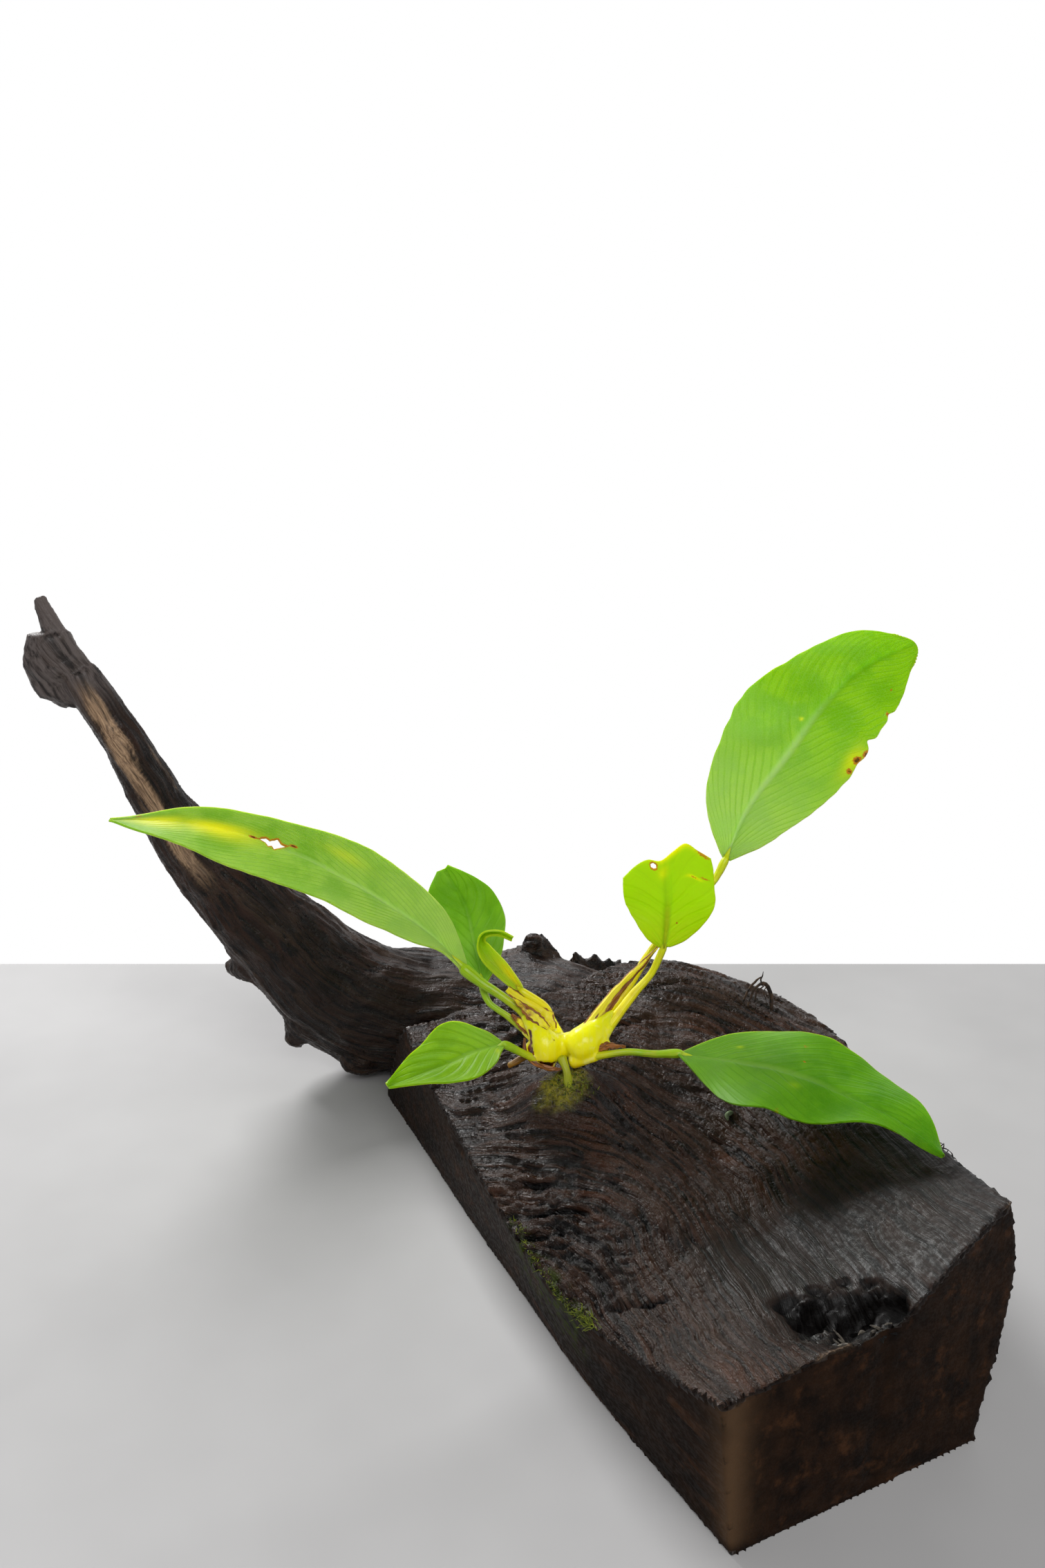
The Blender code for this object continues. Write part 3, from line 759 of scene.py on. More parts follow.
@dataclass(frozen=True)
class Matt(Finish):
    """Moss, dry wood fibre or table paint: matt, its tone wavering from low to high."""

    low: str
    high: str
    scale: float = 900.0           # how many patches of one tone in a metre
    detail: float = 2.0
    spread: float = 0.14           # of the noise between the two tones, about its middle
    roughness: float = 0.8

    def paint(self, add: Callable) -> bpy.types.NodeSocket:
        """Changes the tone from patch to patch."""
        tone = add("TexNoise", add("TexCoord", out="Object"),
                   sockets={"Scale": self.scale, "Detail": self.detail, "Roughness": 0.6})
        colour = add("ValToRGB", tone,
                     stops=((0.5 - self.spread, self.low), (0.5 + self.spread, self.high)))
        return add("BsdfPrincipled", sockets={"Base Color": colour, "Roughness": self.roughness})


# The wood


@dataclass(frozen=True)
class Groove:
    """A crack or groove in the block's top: its line across and along, depth and width."""

    line: tuple
    depth: float
    width: float


@dataclass(frozen=True)
class Pit:
    """A rotted hole in the block's top: its place across and along, depth and reaches."""

    across: float
    along: float
    depth: float
    reach_across: float
    reach_along: float


@dataclass
class Survey:
    """The fused skin's vertices: where each lies, how it faces and what it is part of.

    v and u are lengths across and along the block from its nearest corner, z is the height, and
    facing_v and facing_z are parts of the normal. What else it works out are shares of 0 to 1.
    """

    places: np.ndarray
    normals: np.ndarray
    limb: np.ndarray               # the branch, against the block
    arm: np.ndarray                # places across, up on and along the branch's bent line
    tip_along: tuple = (225, 262)  # where the branch turns into its calmer tip
    worn_u: tuple = (64, 42)       # where the top turns worn and smooth, along the block
    worn_v: tuple = (6, 30)        # and across it
    hollow_place: tuple = (34, 9)  # of the rotted hollow
    hollow_reach: float = 12.0

    def __post_init__(self) -> None:
        """Works out the rest."""
        cos, sin = math.cos(BLOCK_TURN), math.sin(BLOCK_TURN)
        turn = np.array(((cos, -sin), (sin, cos)))
        v, u = self.v, self.u = ((self.places[:, :2] - BLOCK_CORNER) @ turn).T
        self.facing_v, facing_u = (self.normals[:, :2] @ turn).T
        z, facing_z = self.z, self.facing_z = self.places[:, 2], self.normals[:, 2]
        self.block = 1 - self.limb
        flank = np.maximum(
            rise(0.5, 0.75, -self.facing_v) * rise(0.7, 0.45, np.abs(facing_z)),
            rise(0.6, 0.85, -facing_u) * rise(0.45, 0.15, np.abs(facing_z)))
        self.table = rise(0.6, 0.9, -facing_z) * rise(1.5, 0.5, z)
        self.sawn = np.maximum(self.block * flank, self.table)
        self.top = self.block * rise(0.2, 0.6, facing_z)
        self.tip = self.limb * rise(*self.tip_along, self.arm[:, 2])
        smooth = self.top * rise(*self.worn_u, u) * rise(*self.worn_v, v)
        self.calm = ((1 - 0.80 * smooth) * (1 - 0.5 * self.limb) * (1 - 0.5 * self.tip)
                     * (1 - self.sawn))
        off_v, off_u = v - self.hollow_place[0], u - self.hollow_place[1]
        off = ((off_v / self.hollow_reach) ** 2 + (off_u / self.hollow_reach) ** 2
               + 0.5 * noise(self.places / 3.0, 90))
        self.rot = self.block * rise(1.15, 0.6, off) * rise(24, 32, z)


@dataclass
class Driftwood:
    """The sawn block, the long branch and its broken fork, fused and weathered."""

    voxel: float = 0.84
    branch_line: tuple = ((32, 44, 22), (8, 74, 23), (-24, 90, 23), (-49, 92, 24), (-67, 91, 29.5),
                          (-81, 90, 40), (-95.5, 90, 55), (-109, 89, 71), (-120.5, 89, 86),
                          (-128.5, 89, 99), (-135, 88, 113), (-142, 88, 127), (-151.5, 88, 143))
    grooves: tuple = (
        Groove(((-8, 107.5), (-1, 99.5), (9.6, 87), (14.5, 76.6), (16.5, 65.5), (16, 54)),
               0.8, 1.0),
        Groove(((-6.5, 96.6), (0.8, 90.2), (6.1, 83.8)), 1.5, 0.9),
        Groove(((-7.9, 92.4), (-1, 85.7), (3.3, 80.5)), 1.2, 0.8),
        Groove(((-8.4, 88.2), (-0.2, 81.3), (5.3, 74.2)), 1.0, 0.8),
        Groove(((-8.8, 81.2), (-1.8, 75.6), (3.2, 66.9)), 1.1, 0.9),
        Groove(((-9.2, 76.5), (-2, 70.8), (3.4, 62.5)), 0.8, 0.7),
        Groove(((-9.6, 71.7), (-1.3, 65.8), (4.9, 56.5)), 0.9, 0.8),
        Groove(((-8.5, 66.3), (-2, 57.5), (3.9, 48.6)), 0.7, 0.8),
        Groove(((29.4, 95.7), (34.4, 85.3), (39.5, 73.8)), 1.5, 0.8),
        Groove(((26, 101), (31.5, 90), (34, 82)), 0.8, 0.7),
        Groove(((21.6, 55), (22.4, 49.3), (23.2, 45.8)), 1.3, 0.8),
        Groove(((-4.5, 46.4), (2.6, 41.7), (9.5, 37.2)), 1.6, 0.6),
        Groove(((40, 60), (38.2, 44), (36.5, 30)), 0.6, 0.8),
        Groove(((55, 96), (57, 80), (53, 60), (49, 40)), 0.6, 0.9),
        Groove(((66, 100), (67, 80), (63, 56)), 0.7, 0.8),
        Groove(((30, 140), (44, 128), (60, 118)), 1.0, 0.9),
        Groove(((10, 140), (22, 130), (34, 124)), 1.1, 0.9),
        Groove(((48, 142), (62, 130), (78, 120)), 0.9, 0.8),
        Groove(((5, 150), (20, 142), (38, 138)), 0.9, 0.8),
        Groove(((60, 110), (74, 100), (84, 86)), 0.8, 0.8))
    pits: tuple = (Pit(27.5, 20.5, 2.6, 2.4, 2.6), Pit(31, 15.5, 5.0, 4.0, 3.0),
                   Pit(37.5, 10.5, 6.0, 4.6, 2.8), Pit(42.5, 5.5, 4.2, 3.0, 3.0),
                   Pit(33, 5.5, 2.6, 4.5, 2.4), Pit(37, 0.5, 2.0, 3.0, 2.0),
                   Pit(25.5, 113, 2.0, 2.4, 2.4), Pit(20, 137, 2.4, 3.6, 2.0),
                   Pit(20, 128.5, 2.0, 3.0, 2.0))
    snags: tuple = (  # broken bits of the branch: a line and its radii
        (((-80, 86, 24), (-86, 86, 19), (-88.5, 85, 15.5)), (10.0, 7.5, 4.4)),
        (((-96, 88, 46), (-104, 89, 42), (-109.5, 90, 40)), (9.0, 7.0, 3.4)),
        (((-62, 84, 13), (-67, 82, 10), (-70.5, 81, 9.5)), (8.0, 7.0, 4.6)),
        (((-7.5, 94, 40), (-6.6, 94, 45), (-6.1, 94, 48.4)), (3.4, 3.3, 2.9)),
        (((10.2, 92, 35), (9.2, 92, 41), (8.0, 92, 44.6)), (3.2, 2.0, 0.8)),
        (((9.5, 92, 37), (12.5, 92, 39.2), (16, 92, 37.5)), (2.6, 3.2, 2.4)),
        (((14.0, 92, 36), (14.6, 92, 41), (15.2, 92, 43.4)), (2.8, 2.3, 1.3)),
        (((18.8, 92, 36), (19.2, 92, 39.6), (20.0, 92, 41.6)), (2.6, 2.0, 1.0)),
        (((22.4, 91, 36), (22.8, 91.5, 39.4), (23.4, 92, 41.8)), (2.2, 1.6, 0.8)))
    mound_place: tuple = (2.0, -3.5)               # the rise that the crown stands on
    mound_reach: tuple = (10.5, 7.5)
    mound_height: float = 8.0
    cut_along: float = 206.0       # where the branch is cut from the block, along the latter
    cut_facing: tuple = (0.5369, 0.8437)
    solids: dict = field(default_factory=dict)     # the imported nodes, as search trees

    def build(self) -> BVHTree:
        """Makes the wood's two pieces.

        Returns:
            The weathered surface, for what grows on it.
        """
        skin = self.fuse()
        self.weather(skin)
        surface = BVHTree.FromPolygons([v.co for v in skin.vertices],
                                       [p.vertices[:] for p in skin.polygons])
        self.part(skin)
        return surface

    @staticmethod
    def cad_copy(node: str) -> bmesh.types.BMesh:
        """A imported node's mesh as a merged bmesh, measured from the crown's spot."""
        bm = bmesh.new()
        bm.from_mesh(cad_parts[node].data)
        bmesh.ops.remove_doubles(bm, verts=bm.verts, dist=1e-6)
        bmesh.ops.scale(bm, verts=bm.verts, vec=(1 / MM, 1 / MM, 1 / MM))
        bmesh.ops.translate(bm, verts=bm.verts, vec=[-c for c in CROWN])
        return bm

    def fuse(self) -> bpy.types.Mesh:
        """Sinks each node into the one that carries it and makes one skin of them all.

        Returns:
            The skin, measured from the crown's spot.
        """
        whole = bmesh.new()
        carriers = {"driftwood_block": "", "driftwood_branch": "driftwood_block",
                    "driftwood_spike": "driftwood_branch", "driftwood_stub": "driftwood_branch"}
        for node, carrier in carriers.items():
            bm = self.cad_copy(node)
            self.solids[node] = BVHTree.FromBMesh(bm)
            if carrier:
                for vert in bm.verts:
                    near, _normal, _index, gap = self.solids[carrier].find_nearest(vert.co)
                    if 1e-4 < gap < 0.9:
                        vert.co += (near - vert.co).normalized() * (gap + 1.6)
            part = as_mesh(node, bm)
            whole.from_mesh(part)
            bpy.data.meshes.remove(part)
        for line, radii in self.snags:
            add_rod(whole, line, radii, 9, 10, rough=0.5, seed=5)
        return fused(whole, self.voxel)

    def weather(self, skin: bpy.types.Mesh) -> None:
        """Raises the grain, cuts cracks and pits, and stores what the finish reads.

        Args:
            skin: the fused mesh, changed in place.
        """
        places, normals = (np.empty(3 * len(skin.vertices), dtype=np.float32) for _ in range(2))
        skin.vertices.foreach_get("co", places)
        skin.vertex_normals.foreach_get("vector", normals)
        places, normals = (a.reshape(-1, 3).astype(float) for a in (places, normals))
        ground = Survey(places, normals, self.limb_share(places), self.unbent(places))
        grain = self.grain(ground)
        reach = (places[:, :2] - self.mound_place) / self.mound_reach
        mound = ground.block * self.mound_height * np.exp(-(reach ** 2).sum(axis=1))
        height = self.relief(ground, grain) + mound * rise(0.3, 0.8, ground.facing_z)
        moved = places + normals * (height * (1 - ground.table))[:, None]
        moved[:, 2] = np.maximum(moved[:, 2], 0.0)
        skin.vertices.foreach_set("co", moved.astype(np.float32).ravel())
        marks = self.wear(ground, grain)
        marks["height"] = np.clip(0.5 + 0.35 * (height - mound), 0, 1)
        for name, values in marks.items():
            layer = skin.attributes.new(name, "FLOAT", "POINT")
            layer.data.foreach_set("value", values.astype(np.float32))
        layer = skin.attributes.new("grain", "FLOAT_VECTOR", "POINT")
        layer.data.foreach_set("vector", grain.astype(np.float32).ravel())

    @staticmethod
    def grain(ground: Survey) -> np.ndarray:
        """Each vertex's place, measured two ways across the wood's fibres and along them.

        Args:
            ground: the skin's vertices.

        Returns:
            (n, 3) places. The fibres run along the block at its near end and slant to the left
            farther back, and all wander a little.
        """
        v, u, places = ground.v, ground.u, ground.places
        lengthwise = v - 0.17 * np.minimum(u - 60, 0)
        slanting = 0.78 * v + 0.62 * u - 43.1
        across = 5.0 * np.logaddexp(lengthwise / 5.0, slanting / 5.0)
        upright = rise(0.7, 0.3, np.abs(ground.facing_z))
        on_block = np.stack((across, (0.15 + 0.75 * upright) * ground.z, 0.45 * v - 0.75 * u), 1)
        grain = ground.block[:, None] * on_block + ground.limb[:, None] * ground.arm
        grain += 1.8 * np.stack([layered(places / 22 + 31 * i, 2, 60 + i) for i in range(3)], 1)
        return grain + 0.3 * np.stack([noise(places / 7 + 17 * i, 65 + i) for i in range(3)], 1)

    def relief(self, ground: Survey, grain: np.ndarray) -> np.ndarray:
        """How far each vertex is raised: ridges, strands, grooves, pits and the rotted hollow.

        Args:
            ground: the skin's vertices.
            grain: their places across and along the fibres.

        Returns:
            One height for each vertex.
        """
        v, u, z, places = ground.v, ground.u, ground.z, ground.places
        broad = layered(grain / (9.0, 9.0, 42.0), 2, 1)
        ridges = layered(grain / (3.4, 3.4, 44.0), 3, 11, ridged=True)
        strands = layered(grain / (1.7, 1.7, 24.0), 2, 21, ridged=True)
        chips = np.minimum(layered(places / 5.0, 3, 31), 0.0)
        height = ground.calm * (0.6 * broad + 0.75 * ridges + 0.45 * strands + 0.15 * chips)
        height += ground.limb * (1 - ground.tip) * 0.7 * layered(grain / (7.0, 7.0, 70.0), 2, 91)
        shore = rise(14, 2, v) * rise(42, 52, u) * rise(108, 98, u) * ground.top
        ripple = 0.74 * v + 0.67 * u + 1.5 * noise(places / 7.0, 70)
        height += shore * 0.40 * np.sin(2 * np.pi * ripple / 2.6)     # cross ripples at the left
        spots = np.stack((v, u), axis=1)
        spots += 0.8 * np.stack((noise(places / 4.0, 77), noise(places / 4.0, 78)), axis=1)
        for groove in self.grooves:
            distance, way = near_line(spots, groove.line)
            taper = np.sin(np.pi * np.clip(way, 0.04, 0.96)) ** 0.5
            height -= ground.top * groove.depth * taper * np.exp(-(distance / groove.width) ** 2)
        upward = ground.block * rise(-0.2, 0.4, ground.facing_z)
        for pit in self.pits:
            distance = (((spots[:, 0] - pit.across) / pit.reach_across) ** 2
                        + ((spots[:, 1] - pit.along) / pit.reach_along) ** 2)
            height -= upward * pit.depth * np.exp(-distance ** 1.3)
        flakes = layered(np.stack(((v + u) / 2.2, (u - v) / 9.0, z / 3.0), 1), 3, 41, ridged=True)
        height += ground.rot * (1.1 * flakes - 0.8) * (1 - 0.85 * ground.sawn)
        # a short groove in the left flank
        seam = rise(2.0, 0.8, np.abs(z - 28.5 + 0.06 * (u - 122)))
        seam *= rise(112, 120, u) * rise(128, 120, u) * rise(0.6, 0.85, -ground.facing_v)
        return height - ground.block * 0.8 * seam

    @staticmethod
    def wear(ground: Survey, grain: np.ndarray) -> dict:
        """Where the finish is sawn, rubbed, rotten or overgrown, and where the fork's tip is painted
        paler.

        Args:
            ground: the skin's vertices.
            grain: their places across and along the fibres.

        Returns:
            For each mark's name, one share of 0 to 1 for each vertex.
        """
        v, u, z, places = ground.v, ground.u, ground.z, ground.places
        block, limb, facing_z = ground.block, ground.limb, ground.facing_z
        _across, up, arm = ground.arm.T
        front = rise(0.0, 0.6, 0.3 * ground.normals[:, 0] - ground.normals[:, 1])
        streak = layered(grain / (2.2, 2.2, 50.0), 2, 51)
        # the rubbed tan streak along the branch
        strip = np.exp(-((up - 0.3 + 0.8 * noise(places / 12.0, 59)) / 2.6) ** 2)
        tan = limb * front * rise(0.25, 0.65, strip + 0.5 * streak)
        tan *= rise(178, 200, arm) * rise(262, 250, arm)
        # the front edge of the top, with a bare spot near its right end
        rim = rise(1.6, 0.4, u) * rise(0.15, 0.5, facing_z) * rise(30, 34, z)
        rim *= 0.3 * block * rise(-0.1, 0.3, noise(places / 5.0, 56))
        spot = rise(2.6, 0.8, np.hypot(v - 74, u - 2)) * rise(0.15, 0.5, facing_z)
        spot *= 0.9 * rise(30, 34, z)
        corner = np.exp(-(np.hypot(v + 0.5, u - 0.5) / 4.2) ** 1.6) * rise(0.5, 4, z)
        corner *= rise(-1.3, -0.2, noise(places / 14.0, 55))
        algae = rise(3.6, 0.8, np.abs(v + 8.5)) * rise(46, 52, u) * rise(92, 80, u)
        algae *= rise(-0.25, 0.35, noise(places / 3.0, 57))
        from_peg = np.hypot(places[:, 0] - 2, places[:, 1] + 5.0)
        stain = 0.9 * rise(6.8, 2.0, from_peg + 1.6 * noise(places / 2.6, 58))
        # the dry mark paints the fork's tip paler, as painted light for the sky light that it
        # catches
        return {"sawn": ground.sawn, "worn": np.maximum(np.maximum(tan, rim), spot),
                "algae": block * algae, "rot": ground.rot, "limb": limb,
                "dry": limb * rise(244, 262, arm), "arris": block * corner,
                "stain": block * stain, "coarse": ground.calm}

    def limb_share(self, places: np.ndarray) -> np.ndarray:
        """How much each place belongs to the branch: 0 on the block, 1 on the branch."""
        gaps = {name: np.array([solid.find_nearest(place)[3] for place in places.tolist()])
                for name, solid in self.solids.items()}
        block = gaps.pop("driftwood_block")
        return rise(-2.5, 2.5, block - np.min(list(gaps.values()), axis=0))

    def unbent(self, places: np.ndarray) -> np.ndarray:
        """Each place measured across, up on and along the branch's bent line."""
        _fractions, frames = line_frames(self.branch_line, 160)
        centres, along, side, up = (np.array([f[i] for f in frames]) for i in range(4))
        gaps = np.linalg.norm(np.diff(centres, axis=0), axis=1)
        travelled = np.concatenate(([0], np.cumsum(gaps)))
        chunks = []
        for chunk in np.array_split(places, 12):
            best = np.argmin(np.linalg.norm(chunk[:, None] - centres[None], axis=2), axis=1)
            offset = chunk - centres[best]
            parts = [np.einsum("ij,ij->i", offset, axis[best]) for axis in (side, up, along)]
            parts[2] += travelled[best]
            chunks.append(np.stack(parts, axis=1))
        return np.concatenate(chunks)

    def part(self, skin: bpy.types.Mesh) -> None:
        """Cuts the skin behind the block and closes both pieces.

        Args:
            skin: the weathered skin. It is removed.
        """
        woods = [Bogwood("waterlogged_driftwood", 0.34).make(),
                 Bogwood("sawn_bogwood", 0.06).make()]
        foot = Vector(block_point(0, self.cut_along, 0))
        normal = block_way(*self.cut_facing)
        pieces = (("weathered_block", Slot.BLOCK, True, ("driftwood_block",)),
                  ("weathered_branch", Slot.BRANCH, False,
                   ("driftwood_branch", "driftwood_spike", "driftwood_stub")))
        for name, slot, near, nodes in pieces:
            bm = bmesh.new()
            bm.from_mesh(skin)
            sawn = bm.verts.layers.float["sawn"]
            for face in bm.faces:
                face.material_index = int(all(vert[sawn] > 0.5 for vert in face.verts))
            bmesh.ops.bisect_plane(bm, geom=bm.verts[:] + bm.edges[:] + bm.faces[:], dist=1e-4,
                                   plane_co=foot, plane_no=normal, clear_outer=near,
                                   clear_inner=not near)
            rim = [e for e in bm.edges if e.is_boundary]
            caps = bmesh.ops.holes_fill(bm, edges=rim, sides=0)["faces"]
            bmesh.ops.triangulate(bm, faces=caps)
            under = {f for f in bm.faces if f.normal.z < -0.999
                     and all(v.co.z < 0.05 for v in f.verts)}
            inner = {e for f in under for e in f.edges if all(g in under for g in e.link_faces)}
            bmesh.ops.dissolve_limit(bm, angle_limit=math.radians(1), verts=[],
                                     edges=list(inner))
            bmesh.ops.triangulate(bm, faces=[f for f in bm.faces if len(f.verts) > 4])
            finish_piece(name, bm, woods, nodes)
        bpy.data.meshes.remove(skin)


# The plant


@dataclass(frozen=True)
class Mark:
    """A yellowed or scarred place on a blade: along and across it, its reaches and strength."""

    s: float
    t: float
    reach_s: float
    reach_t: float
    scar: float = 0.0
    yellow: float = 0.0


@dataclass(frozen=True)
class Dent:
    """A missing bit of a blade's margin: along it, on which side, its reach and depth."""

    s: float
    side: int
    reach: float
    depth: float


@dataclass(frozen=True)
class Leaf:
    """One leaf: its stalk, its blade's midrib, half widths, colours and damage.

    Half widths are given at every tenth of the length, on the left and the right of the
    midrib as seen on the upper side with the tip up.
    """

    name: str
    stalk: tuple
    stalk_radii: tuple
    midrib: tuple
    facing: tuple
    left: tuple
    right: tuple
    fold: float
    wave: float
    waves: float
    colours: tuple                 # deep, light, vein, flush
    bite: tuple = (0.0, 0.0)
    marks: tuple = ()
    dents: tuple = ()
    holes: tuple = ()              # outlines, each of (s, t) corners
    rows: int = 150
    columns: int = 44
    thickness: float = 0.6
    slot: Slot = Slot.BLADE

    @property
    def length(self) -> float:
        """Length of the blade."""
        return float(np.linalg.norm(np.diff(np.array(self.midrib, float), axis=0), axis=1).sum())

    @property
    def width(self) -> float:
        """Greatest width of the blade."""
        return max(self.left) + max(self.right)


